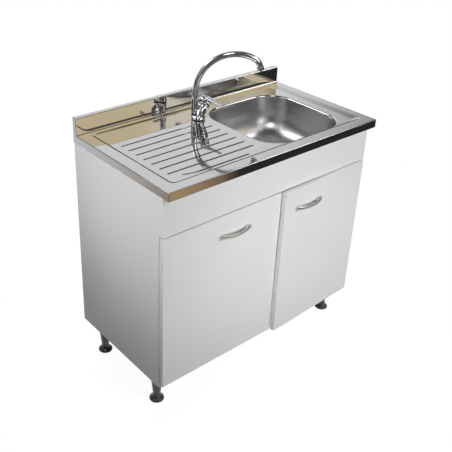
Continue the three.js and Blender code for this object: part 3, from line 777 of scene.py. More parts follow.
@dataclass(frozen=True)
class Moulded(Finish):
    """A moulded plastic or rubber: polypropylene, glass-filled nylon or a soft gasket."""

    texture: float = 0.8  # mm between the grains of the mould's skin
    depth: float = 0.1
    patch: float = 22  # mm across the patches of scuffs and dust
    worn: str = "FFFFFF"  # the tone that scuffs and dust turn it to
    wear: float = 0.05

    def paint(self, tree: Tree, place: Socket) -> dict[str, Socket]:
        """The mould's fine grain, and dust and scuffs in soft patches.

        Args:
            tree: The material's nodes.
            place: The socket with a point's place on the piece.

        Returns:
            What feeds the shader, by the name of its input.
        """
        skin = node(tree, "TexNoise", {
            "Vector": place, "Scale": grain(self.texture), "Detail": 3.0,
        })
        relief = node(tree, "Bump", {
            "Height": skin.outputs["Fac"], "Strength": self.depth, "Distance": 0.2 * MM,
        })
        dust = node(tree, "TexNoise", {"Vector": place, "Scale": grain(self.patch), "Detail": 5.0})
        shade = node(tree, "Mix", {
            "Factor": self.spread(tree, dust.outputs["Fac"], 0.0, self.wear),
            "A": linear(self.colour), "B": linear(self.worn),
        }, data_type="RGBA")
        rough = self.roughness
        gloss = self.spread(tree, dust.outputs["Fac"], rough - 0.04, rough + 0.08)
        return {
            "Base Color": shade.outputs["Result"], "Roughness": gloss,
            "Normal": relief.outputs["Normal"],
        }


@dataclass(frozen=True)
class Softwood(Finish):
    """Planed spruce: pale wood with darker growth rings along the batten."""

    ring: float = 7  # mm between growth rings
    fibre: float = 0.8  # mm between fibres, coarser than real ones so that they show
    ring_colour: str = "B48A58"

    def paint(self, tree: Tree, place: Socket) -> dict[str, Socket]:
        """Growth rings drawn out along the length, with a fine fibre in the relief.

        Args:
            tree: The material's nodes.
            place: The socket with a point's place on the piece.

        Returns:
            What feeds the shader, by the name of its input.
        """
        bands = node(tree, "TexWave", {
            "Vector": place, "Scale": grain(self.ring) / 20, "Distortion": 3.0, "Detail": 3.0,
        }, bands_direction="Z")
        tones = node(tree, "Mix", {
            "Factor": bands.outputs["Fac"],
            "A": linear(self.colour), "B": linear(self.ring_colour),
        }, data_type="RGBA")
        fibre = node(tree, "TexNoise", {"Vector": place, "Scale": grain(self.fibre), "Detail": 2.0})
        relief = node(tree, "Bump", {
            "Height": fibre.outputs["Fac"], "Strength": 0.2, "Distance": 0.3 * MM,
        })
        return {"Base Color": tones.outputs["Result"], "Normal": relief.outputs["Normal"]}


BOARD = FacedBoard("melamine_faced_board", "white_board", "EBEBEC", 0.34)
CHIPBOARD = RawChipboard("sawn_chipboard", "white_board", "C5A87A", 0.85)
MIRROR_STEEL = SteelSheet(
    "polished_stainless_sheet", "polished_steel", "CFCDC9", 0.06,
    line_depth=0.012, wave_depth=0.012,
)
CHROME = Plating("bright_chrome", "chrome", "DADBDE", 0.07)
NICKEL = Plating("satin_nickel", "satin_nickel", "DAD9D6", 0.33, pit=0.5, depth=0.05)
GRAPHITE = Moulded("graphite_nylon", "graphite_plastic", "34352F", 0.32, worn="8C8C84", wear=0.12)
PIPE_WHITE = Moulded(
    "white_polypropylene", "white_plastic", "EDEDEA", 0.38, worn="CFCDC4", wear=0.3,
)
GASKET = Moulded("black_rubber", "rubber", "1E1E1E", 0.75, worn="5A5A5A", wear=0.2)
ZINC = ZincPlate("bright_zinc", "zinc_steel", "9A9C9F", 0.3)
SPRUCE = Softwood("planed_spruce", "timber", "D6B582", 0.6)


# ---- sub-assemblies ----------------------------------------------------------------------------


@dataclass
class Assembly:
    """What every sub-assembly does with its pieces once they are made."""

    frame: dict
    worn: ClassVar[float] = 0.3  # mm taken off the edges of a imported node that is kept
    sharp: ClassVar[float] = 40  # degrees of turn above which such an edge is broken

    def dress(self, piece: Thing, finish: Finish, body: str, *nodes: str) -> Thing:
        """Gives a piece its finish and hangs it on the body that carries it.

        Args:
            piece: The finished mesh.
            finish: What it is made of.
            body: The body it moves with.
            nodes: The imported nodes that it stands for.

        Returns:
            The piece.
        """
        piece.data.materials.clear()
        piece.data.materials.append(finish.material())
        for polygon in piece.data.polygons:
            polygon.material_index = 0
        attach(piece, body)
        if nodes:
            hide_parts(*nodes)
        log.info("%s: %s, %d faces, on %s", piece.name, finish.name, len(piece.data.polygons), body)
        return piece

    def keep(self, finish: Finish, *names: str) -> None:
        """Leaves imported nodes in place, with a finish and with their edges broken.

        Args:
            finish: What they are made of.
            names: The nodes.
        """
        for name in names:
            kept = self.frame["nodes"][name]
            for slot in kept.material_slots:
                slot.link = "OBJECT"
                slot.material = finish.material()
            kept.modifiers.new("weld", "WELD").merge_threshold = TIP * MM
            ease = kept.modifiers.new("ease", "BEVEL")
            ease.width, ease.segments, ease.limit_method = self.worn * MM, 2, "ANGLE"
            ease.angle_limit = math.radians(self.sharp)
            log.info("%s: kept, %s", name, finish.name)

    @staticmethod
    def middle(name: str) -> Vector:
        """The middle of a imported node's box."""
        low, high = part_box(name)
        return (low + high) / 2


def eased(depth: float, steps: int) -> list[float]:
    """Heights in mm down a smoothly pressed wall, from 0 to its foot."""
    return [-depth * (1 - math.cos(math.pi * i / steps)) / 2 for i in range(steps + 1)]


def pressed(width: float, depth: float, steps: int) -> Profile:
    """The insets and rises of a smoothly pressed wall.

    Args:
        width: How far the wall reaches inwards, in mm.
        depth: How far it goes down, in mm.
        steps: Facets across it.

    Returns:
        Inset and rise pairs for Bench.sink.
    """
    heights = eased(depth, steps)
    return [(width / steps, low - high) for high, low in zip(heights, heights[1:])]


@dataclass
class SinkTop(Assembly):
    """The worktop, one pressed steel sheet: deck, drainer, bowl lip, folded edge and upstand."""

    sheet: float = 1.4
    fold: float = 2.5
    fold_steps: int = 4
    band: float = 30
    flange: float = 12
    upstand: float = 58
    upstand_depth: float = 20
    recess_left: float = 40
    recess_right: float = 26
    recess_front: float = 38
    recess_back: float = 28
    recess_wall: float = 12
    recess_right_wall: float = 40
    recess_back_wall: float = 26
    recess_corner: float = 18
    recess_corner_steps: int = 8
    recess_depth: float = 4
    recess_steps: int = 8
    groove_count: int = 8
    groove_pitch: float = 39.2
    groove_width: float = 8.5
    groove_depth: float = 1.0
    groove_flat: float = 0.9  # width of a groove's flat bottom
    groove_steps: int = 6
    groove_end_steps: int = 6
    groove_first: float = 62
    groove_start: float = 72
    groove_to_bowl: float = 38
    front_start: float = 145
    front_to_bowl: float = 92
    curl: float = 42
    curl_angle: float = 17
    curl_bends: tuple[float, ...] = (-12, -6, 0, 6, 12)  # where it turns, along the groove
    bend_reach: float = 0.1  # how far past a bend corners still turn with it
    bowl_width: float = 354
    bowl_length: float = 356
    bowl_corner: float = 88
    lip: float = 6
    lip_drop: float = 3
    lip_steps: int = 8
    corner_steps: int = 16
    hole: float = 17
    hair: float = 0.05  # keeps the two ends of a rounding apart

    def build(self) -> None:
        """Folds the blank, presses its forms, closes the deck round them and gives it thickness."""
        self.low, self.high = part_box("sink_top")
        self.deck = self.low.z + self.band * MM
        self.floor = self.deck - self.recess_depth * MM
        forms = self.recess(), *self.grooves(), self.bowl_lip(), self.tap_hole()
        top = Bench.join("worktop", self.blank(), *forms)
        for level in (self.deck, self.floor):
            self.close(top, level)
        with Bench.editing(top):
            Bench.face_out(TIP)
        Bench.face_up(top)
        Bench.modify(top, "SOLIDIFY", thickness=self.sheet * MM, offset=-1)
        Bench.smooth(top, 40)
        self.dress(top, MIRROR_STEEL, "base", "sink_top")

    def at(self, x: float, y: float, z: float) -> Vector:
        """A point from the worktop's left front corner in mm, at a height in metres."""
        return Vector((self.low.x + x * MM, self.low.y + y * MM, z))

    def blank(self) -> Thing:
        """The sheet with its upstand, edge band and flange folded, and its deck cut away.

        Returns:
            The folded sheet, open where the pressed forms go.
        """
        size = self.high - self.low
        middle = (self.low + self.high) / 2
        middle.z = self.deck
        blank = Bench.add("plane", "worktop", (size.x, size.y, 1), size=1, location=middle)
        front = self.high.y - self.upstand_depth * MM
        with Bench.editing(blank):
            bpy.ops.mesh.bisect(plane_co=(0, front, 0), plane_no=(0, 1, 0))
            Bench.pick(Part.FACE, lambda f: f.calc_center_median().y > front)
            Bench.extrude(point(0, 0, self.upstand))
            Bench.pick(Part.EDGE, lambda e: e.is_boundary)
            Bench.extrude(point(0, 0, -self.band))
            turned_in = 2 * self.flange * MM
            foot = Vector((middle.x, middle.y, self.deck - self.band * MM))
            Bench.ring_on(Vector(), 1 - turned_in / size.x, 1 - turned_in / size.y, foot)
            Bench.pick(Part.EDGE, lambda e: not e.is_boundary and e.calc_face_angle(0) > 1)
            bpy.ops.mesh.bevel(offset=self.fold * MM, segments=self.fold_steps, affect="EDGES")
            half = size.x * size.y / 2
            Bench.pick(Part.FACE, lambda f: f.normal.z > 0.99 and f.calc_area() > half)
            bpy.ops.mesh.delete(type="FACE")
        return blank

    def pressing(self, face: Thing, steps: Profile, open_floor: bool) -> Thing:
        """Presses a face down in steps.

        Args:
            face: A flat face, the outline of the form.
            steps: Inset and rise pairs in mm.
            open_floor: Whether the floor of the form is taken out.

        Returns:
            The form.
        """
        with Bench.editing(face):
            bpy.ops.mesh.select_mode(type="FACE")
            Bench.sink(steps)
            if open_floor:
                bpy.ops.mesh.delete(type="FACE")
        return face

    def recess(self) -> Thing:
        """The anti-spill recess, steep at the left and front, and gentle behind and at the right.

        Returns:
            Its walls, open above and below.
        """
        size = (self.high - self.low) / MM
        x0, x1 = self.recess_left, size.x - self.recess_right
        y0, y1 = self.recess_front, size.y - self.recess_back
        steps = self.recess_steps
        centre = self.at((x0 + x1) / 2, (y0 + y1) / 2, self.deck)
        outline = Bench.plate(
            "recess", centre, x1 - x0, y1 - y0, self.recess_corner, self.recess_corner_steps,
        )
        with Bench.editing(outline):
            bpy.ops.mesh.delete(type="ONLY_FACE")
            bpy.ops.mesh.select_all(action="SELECT")
            for low in eased(self.recess_depth, steps)[1:]:
                width, length = x1 - x0, y1 - y0
                x0, y0 = x0 + self.recess_wall / steps, y0 + self.recess_wall / steps
                x1, y1 = x1 - self.recess_right_wall / steps, y1 - self.recess_back_wall / steps
                below = self.at((x0 + x1) / 2, (y0 + y1) / 2, self.deck + low * MM)
                Bench.ring_on(below - centre, (x1 - x0) / width, (y1 - y0) / length, below)
                centre = below
        return outline

    def channel(self, name: str, start: float, end: float, y: float) -> Thing:
        """The flat outline of one groove.

        Args:
            name: The groove's name.
            start: Its left end, from the left edge of the top.
            end: Its right end.
            y: Its middle line, from the front edge.

        Returns:
            The outline.
        """
        centre = self.at((start + end) / 2, y, self.floor)
        round_end = self.groove_width / 2 - self.hair
        return Bench.plate(
            name, centre, end - start, self.groove_width, round_end, self.groove_end_steps,
        )

    def grooves(self) -> list[Thing]:
        """The drainer's grooves; the front one is shorter and curls round the corner.

        Returns:
            The grooves, from the front one back.
        """
        wall_width = (self.groove_width - self.groove_flat) / 2
        wall = pressed(wall_width, self.groove_depth, self.groove_steps)
        bowl = Assembly.middle("bowl").x / MM - self.low.x / MM - self.bowl_width / 2
        end = bowl - self.groove_to_bowl
        long = self.channel("groove", self.groove_start, end, self.groove_first)
        self.pressing(long, wall, False)
        steps = [point(0, i * self.groove_pitch, 0) for i in range(1, self.groove_count)]
        copies = [Bench.copy(long, "groove", step) for step in steps]
        bpy.data.objects.remove(long)
        begin = self.front_start - self.curl
        front = self.channel("front_groove", begin, bowl - self.front_to_bowl, self.groove_first)
        bend = self.at(self.front_start, self.groove_first, self.floor)
        with Bench.editing(front):
            for shift in self.curl_bends:
                spot = bend + point(shift, 0, 0)
                bpy.ops.mesh.select_all(action="SELECT")
                bpy.ops.mesh.bisect(plane_co=spot, plane_no=RIGHT)
                reach = bend.x + (shift + self.bend_reach) * MM
                Bench.pick(Part.VERT, lambda v: v.co.x < reach)
                Bench.turn_picked(-self.curl_angle / len(self.curl_bends), UP, spot)
            bpy.ops.mesh.select_mode(type="FACE")
            bpy.ops.mesh.select_all(action="SELECT")
            bpy.ops.mesh.dissolve_faces()
        return [self.pressing(front, wall, False), *copies]

    def bowl_lip(self) -> Thing:
        """The rolled lip that turns down into the bowl.

        Returns:
            The lip, open in its middle.
        """
        middle = Assembly.middle("bowl")
        middle.z = self.floor
        outline = Bench.plate(
            "lip", middle, self.bowl_width + 2 * self.lip, self.bowl_length + 2 * self.lip,
            self.bowl_corner + self.lip, self.corner_steps,
        )
        turns = [math.pi / 2 * i / self.lip_steps for i in range(self.lip_steps + 1)]
        rolled = [
            (self.lip * (math.sin(b) - math.sin(a)), self.lip * (math.cos(b) - math.cos(a)))
            for a, b in zip(turns, turns[1:])
        ]
        return self.pressing(outline, [*rolled, (0, -self.lip_drop)], True)

    def tap_hole(self) -> Thing:
        """The edge of the hole for the tap.

        Returns:
            A ring of edges.
        """
        centre = Assembly.middle("tap_gasket")
        centre.z = self.floor
        return Bench.add("circle", "hole", vertices=48, radius=self.hole * MM, location=centre)

    @staticmethod
    def close(top: Thing, level: float) -> None:
        """Fills the flat sheet between the open outlines at one height.

        Args:
            top: The sheet with its forms.
            level: The height, in metres.
        """
        with Bench.editing(top):
            Bench.pick(Part.EDGE, lambda e: len(e.link_faces) < 2 and all(
                abs(v.co.z - level) < TIP * MM for v in e.verts
            ))
            bpy.ops.mesh.fill(use_beauty=False)


@dataclass
class Bowl(Assembly):
    """The bowl, deep drawn in its own sheet and welded under the lip."""

    width: float = 354
    length: float = 356
    corner: float = 88
    sheet: float = 1.4
    draft: float = 9
    floor_radius: float = 95
    depth: float = 141.7
    fall: float = 3
    flange: float = 56
    seat: float = 2
    hole: float = 42
    rim_width: float = 8  # flat floor kept round the waste's seat
    wall_rings: tuple[float, ...] = (0.15, 0.4, 0.7, 0.92)  # shares of the way down the walls
    corner_steps: int = 14
    side_steps: int = 9
    turn_steps: int = 9

    def build(self) -> None:
        """Draws the walls down, rounds the floor to the waste and gives the bowl thickness."""
        low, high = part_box("bowl")
        self.centre = (low + high) / 2
        self.rim = high.z
        outline = Bench.plate(
            "bowl_shell", self.spot(0), self.width, self.length, self.corner, self.corner_steps,
        )
        with Bench.editing(outline):
            bpy.ops.mesh.delete(type="ONLY_FACE")
            Bench.pick(Part.EDGE, lambda e: e.calc_length() > self.corner / 2 * MM)
            bpy.ops.mesh.subdivide(number_cuts=self.side_steps)
            bpy.ops.mesh.select_all(action="SELECT")
            self.draw_walls()
            self.draw_floor()
            Bench.face_out()
        Bench.face_up(outline)
        thick = self.sheet * MM
        Bench.modify(outline, "SOLIDIFY", thickness=thick, offset=-1, use_even_offset=True)
        Bench.smooth(outline, 50)
        finish = SteelSheet(
            "brushed_stainless_bowl", "satin_steel", "CBCBCC", 0.3, lay=Lay.ROUND, line=0.8,
            line_depth=0.03, wave=90, wave_depth=0.0, brushed=0.6,
            centre=(self.centre.x / MM, self.centre.y / MM),
        )
        self.dress(outline, finish, "base", "bowl")

    def spot(self, down: float) -> Vector:
        """The bowl's axis at a depth in mm below its rim."""
        return Vector((self.centre.x, self.centre.y, self.rim - down * MM))

    def draw_walls(self) -> None:
        """Extrudes the rim down the leaning walls and round into the floor."""
        wall = self.depth - self.floor_radius
        rings = [(self.draft * t, wall * t) for t in self.wall_rings]
        for i in range(self.turn_steps + 1):
            angle = math.pi / 2 * i / self.turn_steps
            rings.append((
                self.draft + self.floor_radius * (1 - math.cos(angle)),
                wall + self.floor_radius * math.sin(angle),
            ))
        inset, down = 0.0, 0.0
        for inwards, depth in rings:
            narrower = (self.width / 2 - inwards) / (self.width / 2 - inset)
            shorter = (self.length / 2 - inwards) / (self.length / 2 - inset)
            Bench.ring_on(point(0, 0, down - depth), narrower, shorter, self.spot(depth))
            inset, down = inwards, depth

    def draw_floor(self) -> None:
        """Brings the floor's edge to a circle, down over the fall and the seat of the waste."""
        reach = self.width / 2 - self.draft - self.floor_radius
        flat = self.flange + self.rim_width
        spare = reach - flat
        lips = [  # radius, depth, and how far each ring is pulled to a true circle
            (reach - spare * 0.35, self.fall * 0.25, 0.35),
            (reach - spare * 0.7, self.fall * 0.5, 0.6),
            (flat, self.fall * 0.75, 1), (self.flange + 3, self.fall * 0.86, 1),
            (self.flange + 1, self.fall, 1), (self.flange + 0.6, self.fall + self.seat, 1),
            (self.hole, self.fall + self.seat, 1),
        ]
        sunk = 0.0
        for radius, depth, roundness in lips:
            Bench.extrude(point(0, 0, sunk - depth))
            bpy.ops.transform.tosphere(value=roundness)
            data = bmesh.from_edit_mesh(bpy.context.edit_object.data)
            centre = self.spot(self.depth + depth)
            away = [(v.co - centre).length for v in data.verts if v.select]
            ratio = radius * MM / (sum(away) / len(away))
            bpy.ops.transform.resize(value=(ratio, ratio, 1), center_override=centre)
            sunk = depth


@dataclass
class Cabinet(Assembly):
    """The carcass: faced boards, the fascia, the timber packing and the fascia's brackets."""

    edge: float = 0.8  # rounding of the edge strip
    strip: float = 1.0  # thickness of the edge strip
    seam: float = 0.12  # half the width of the seam where it is glued on

    def build(self) -> None:
        """Cuts, edges and dresses every board, and keeps the timber and the brackets."""
        boards = {
            "side_panel_left": "side_board_left", "side_panel_right": "side_board_right",
            "bottom_panel": "floor_board", "back_rail_upper": "back_board_upper",
            "back_rail_lower": "back_board_lower", "fascia_panel": "fascia_board",
        }
        for name, title in boards.items():
            self.dress(self.board(name, title), BOARD, "base", name)
            self.show_core(bpy.data.objects[title])
        self.keep(SPRUCE, "batten_front", "batten_back", "batten_left", "batten_right")
        self.keep(ZINC, "fascia_bracket_left", "fascia_bracket_right")

    def board(self, name: str, title: str) -> Thing:
        """One board in the place of its node, with a fine seam where its edge strip is glued on.

        Args:
            name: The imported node.
            title: The new piece's name.

        Returns:
            The board.
        """
        low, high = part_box(name)
        piece = Bench.box(title, low, high, self.edge)
        with Bench.editing(piece):
            glued = low.y + self.strip * MM
            bpy.ops.mesh.bisect(plane_co=(0, glued, 0), plane_no=(0, 1, 0))
            Bench.pick(Part.EDGE, lambda e: all(abs(v.co.y - glued) < TIP * MM for v in e.verts))
            bpy.ops.mesh.bevel(offset=self.seam * MM, segments=2, profile=0.1, affect="EDGES")
        return Bench.smooth(piece)

    @staticmethod
    def show_core(piece: Thing) -> None:
        """Leaves the sawn chipboard bare on the edges that face the wall.

        Args:
            piece: A board.
        """
        piece.data.materials.append(CHIPBOARD.material())
        for polygon in piece.data.polygons:
            if polygon.normal.y > 0.9:
                polygon.material_index = 1


@dataclass
class Handle(Assembly):
    """A bow handle: a flat bent bar with blunt ends, on two short posts."""

    length: float = 118
    bow: float = 15  # how far the middle stands further out than the ends
    standoff: float = 8.5  # from the door to the middle of the bar's ends
    thick: float = 6.5
    waist: float = 13.5  # height of the bar at its middle
    feet: float = 16.5  # height of the bar at its ends
    cap: float = 4.5  # length of the rounding at each end
    post: float = 5
    post_foot: float = 1.5  # how far a post flares where it meets the door
    post_at: float = 46
    rounding: tuple[float, ...] = (80, 60, 40, 20)  # where rings go round each blunt end
    sides: int = 28
    steps: int = 28

    def bar(self, name: str, middle: Vector) -> Thing:
        """The handle on a door that is shut.

        Args:
            name: The piece's name.
            middle: The point of the door's face behind the handle's middle.

        Returns:
            The handle, standing on the door's face.
        """
        spots = [(-1, angle) for angle in self.rounding]
        spots += [(2 * i / self.steps - 1, 0) for i in range(self.steps + 1)]
        spots += [(1, angle) for angle in reversed(self.rounding)]
        stations = [self.station(middle, share, math.radians(angle)) for share, angle in spots]
        bar = Bench.lofted(name, stations[0].at, RIGHT, stations, self.sides)
        posts = [self.stud(middle + point(side.value * self.post_at, 0, 0)) for side in Side]
        return Bench.smooth(Bench.join(name, bar, *posts), 50)

    def out(self, share: float) -> float:
        """How far the bar's middle line stands off the door, in mm."""
        return self.standoff + self.bow * (1 - share ** 2)

    def station(self, middle: Vector, share: float, end: float) -> Station:
        """One ring of the bar.

        Args:
            middle: The point of the door's face behind the handle's middle.
            share: Place along the bar, from -1 to 1.
            end: How far round the blunt end, in radians, or 0 on the bar itself.

        Returns:
            The ring.
        """
        half = self.length / 2
        along = Vector((1, 2 * self.bow * share / half, 0)).normalized()
        beyond = along * self.cap * math.sin(end) * (1 if share > 0 else -1) * MM
        height = self.waist + (self.feet - self.waist) * share ** 2
        return Station(
            middle + point(half * share, -self.out(share), 0) + beyond,
            Vector((-along.y, along.x, 0)), UP,
            self.thick / 2 * math.cos(end), height / 2 * math.cos(end),
        )

    def stud(self, foot: Vector) -> Thing:
        """A short post from the door's face into the bar.

        Args:
            foot: Where it stands on the door.

        Returns:
            The post.
        """
        reach, r, flare = self.out(self.post_at * 2 / self.length), self.post, self.post_foot
        form = Bench.turned("post", (
            (0, 0), (r + flare, 0), (r + flare, 1), (r, 1 + flare), (r, reach), (0, reach),
        ), foot, 32)
        return Bench.turn(form, 90, RIGHT, foot)


@dataclass
class Door(Assembly):
    """One door: its leaf with the bores for the hinge cups, and its handle."""

    side: Side
    handle_from_split: float  # from the edge beside the other door to the handle's middle
    ajar: float  # degrees that it stands open at rest
    cabinet_half: float = 448
    share: float = 0.5385  # of the front's width, where the two doors meet
    gap: float = 3
    thickness: float = 18
    edge: float = 1.2
    edge_steps: int = 4
    pivot_inset: float = 7
    pivot_depth: float = 8
    cup: float = 17.5
    cup_edge: float = 3
    cup_depth: float = 12.5
    hinge_from_end: float = 90
    handle_drop: float = 70

    def build(self) -> None:
        """Makes the leaf and the handle as if shut, and then swings them to where they rest."""
        word = self.side.name.lower()
        self.hang()
        along = self.split + self.side.value * self.handle_from_split * MM
        face = Vector((along, self.front, self.handle_z))
        leaf = self.leaf(f"door_board_{word}")
        bar = Handle(self.frame).bar(f"bow_handle_{word}", face)
        if self.ajar:
            Bench.turn(leaf, self.ajar, UP, self.pivot)
            Bench.turn(bar, self.ajar, UP, self.pivot)
        self.dress(leaf, BOARD, f"door_{word}", f"door_{word}")
        self.dress(bar, NICKEL, f"door_{word}", f"handle_{word}")
        for level in ("lower", "upper"):
            self.keep(ZINC, f"hinge_cup_{word}_{level}", f"hinge_arm_{word}_{level}")

    def hang(self) -> None:
        """Works out where the shut door stands, from the left door, which rests shut."""
        low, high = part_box("door_left")
        self.front, self.back = low.y, high.y
        self.foot, self.head = low.z, high.z
        self.handle_z = self.head - self.handle_drop * MM
        middle = self.cabinet_half * (2 * self.share - 1)
        self.split = (middle + self.side.value * self.gap / 2) * MM
        self.hinged = self.side.value * self.cabinet_half * MM
        pivot = self.hinged - self.side.value * self.pivot_inset * MM
        self.pivot = Vector((pivot, self.back - self.pivot_depth * MM, 0))

    def leaf(self, name: str) -> Thing:
        """The faced board, bored at the back for its two hinge cups.

        Args:
            name: The piece's name.

        Returns:
            The leaf, shut.
        """
        left, right = sorted((self.split, self.hinged))
        low, high = Vector((left, self.front, self.foot)), Vector((right, self.back, self.head))
        leaf = Bench.box(name, low, high, self.edge, self.edge_steps)
        cup = self.hinged - self.side.value * (self.cup_edge + self.cup) * MM
        for z in (self.foot + self.hinge_from_end * MM, self.head - self.hinge_from_end * MM):
            centre = Vector((cup, self.back, z))
            bore = Bench.turned("bore", (
                (0, -self.thickness), (self.cup, -self.thickness),
                (self.cup, self.cup_depth), (0, self.cup_depth),
            ), centre, 48)
            Bench.turn(bore, 90, RIGHT, centre)
            Bench.carve(leaf, bore)
        return Bench.smooth(leaf)


@dataclass
class Legs(Assembly):
    """Four moulded legs: a tapered column under a round plate, and a flared adjusting foot."""

    plate: float = 31
    shoulder: float = 20.5
    neck: float = 13
    foot_height: float = 26
    foot_radius: float = 25
    screw: float = 5
    screw_length: float = 42
    thread: float = 3
    groove: float = 0.7  # depth of the thread
    clearance: float = 1
    running_gap: float = 0.3

    def build(self) -> None:
        """Turns one column and one foot, and copies them to the four corners."""
        spots = [(row, side) for row in ("front", "back") for side in ("left", "right")]
        low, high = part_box("leg_column_front_left")
        self.top = high.z / MM
        home = Vector(((low.x + high.x) / 2, (low.y + high.y) / 2, 0))
        column, foot = self.column(home), self.foot(home)
        for row, side in spots:
            step = self.middle(f"leg_column_{row}_{side}") - self.middle("leg_column_front_left")
            post = Bench.copy(column, f"leg_{row}_{side}", step)
            pad = Bench.copy(foot, f"foot_{row}_{side}_pad", step)
            self.dress(post, GRAPHITE, "base", f"leg_column_{row}_{side}")
            self.dress(pad, GRAPHITE, f"foot_{row}_{side}", f"leg_foot_{row}_{side}")
        bpy.data.objects.remove(column)
        bpy.data.objects.remove(foot)

    def column(self, at: Vector) -> Thing:
        """The column, with the bore for the screw left open below.

        Args:
            at: The point of the floor under its middle.

        Returns:
            The column.
        """
        bore = self.screw + self.clearance
        plate, shoulder, neck, low, top = (
            self.plate, self.shoulder, self.neck, self.foot_height, self.top,
        )
        deep = low + self.screw_length + 2 * self.clearance
        form = Bench.turned("column", (
            (0, top), (plate - 0.6, top), (plate, top - 0.6), (plate, top - 3.2),
            (plate - 0.8, top - 4), (shoulder + 4, top - 5), (shoulder + 1.5, top - 7),
            (shoulder, top - 12), (shoulder - 2.2, top - 30), (neck + 1.2, low + 10),
            (neck + 0.4, low + 3), (neck, low + 0.6), (neck - 0.6, low), (bore, low),
            (bore, deep), (0, deep),
        ), at)
        return Bench.smooth(form, 30)

    def foot(self, at: Vector) -> Thing:
        """The flared foot with its screw.

        Args:
            at: The point of the floor under its middle.

        Returns:
            The foot.
        """
        rim, neck, crest, root = self.foot_radius, self.neck, self.screw, self.screw - self.groove
        low = self.foot_height
        top, tip = low - self.running_gap, low + self.screw_length
        outline = [
            (0, 1.2), (rim - 5, 1.2), (rim - 4.4, 0), (rim - 1, 0), (rim - 0.2, 0.6), (rim, 1.6),
            (rim, 4.6), (rim - 0.8, 6), (rim - 3, 8.6), (rim - 6, 11.4), (neck + 3.2, 14.6),
            (neck + 0.8, 18.5), (neck, top - 2), (neck - 0.5, top), (crest, top),
        ]
        for i in range(int(self.screw_length / self.thread)):
            outline += [
                (root, low + (i + 0.2) * self.thread), (crest, low + (i + 0.75) * self.thread),
            ]
        outline += [(root, tip), (0, tip)]
        return Bench.smooth(Bench.turned("foot", outline, at), 30)


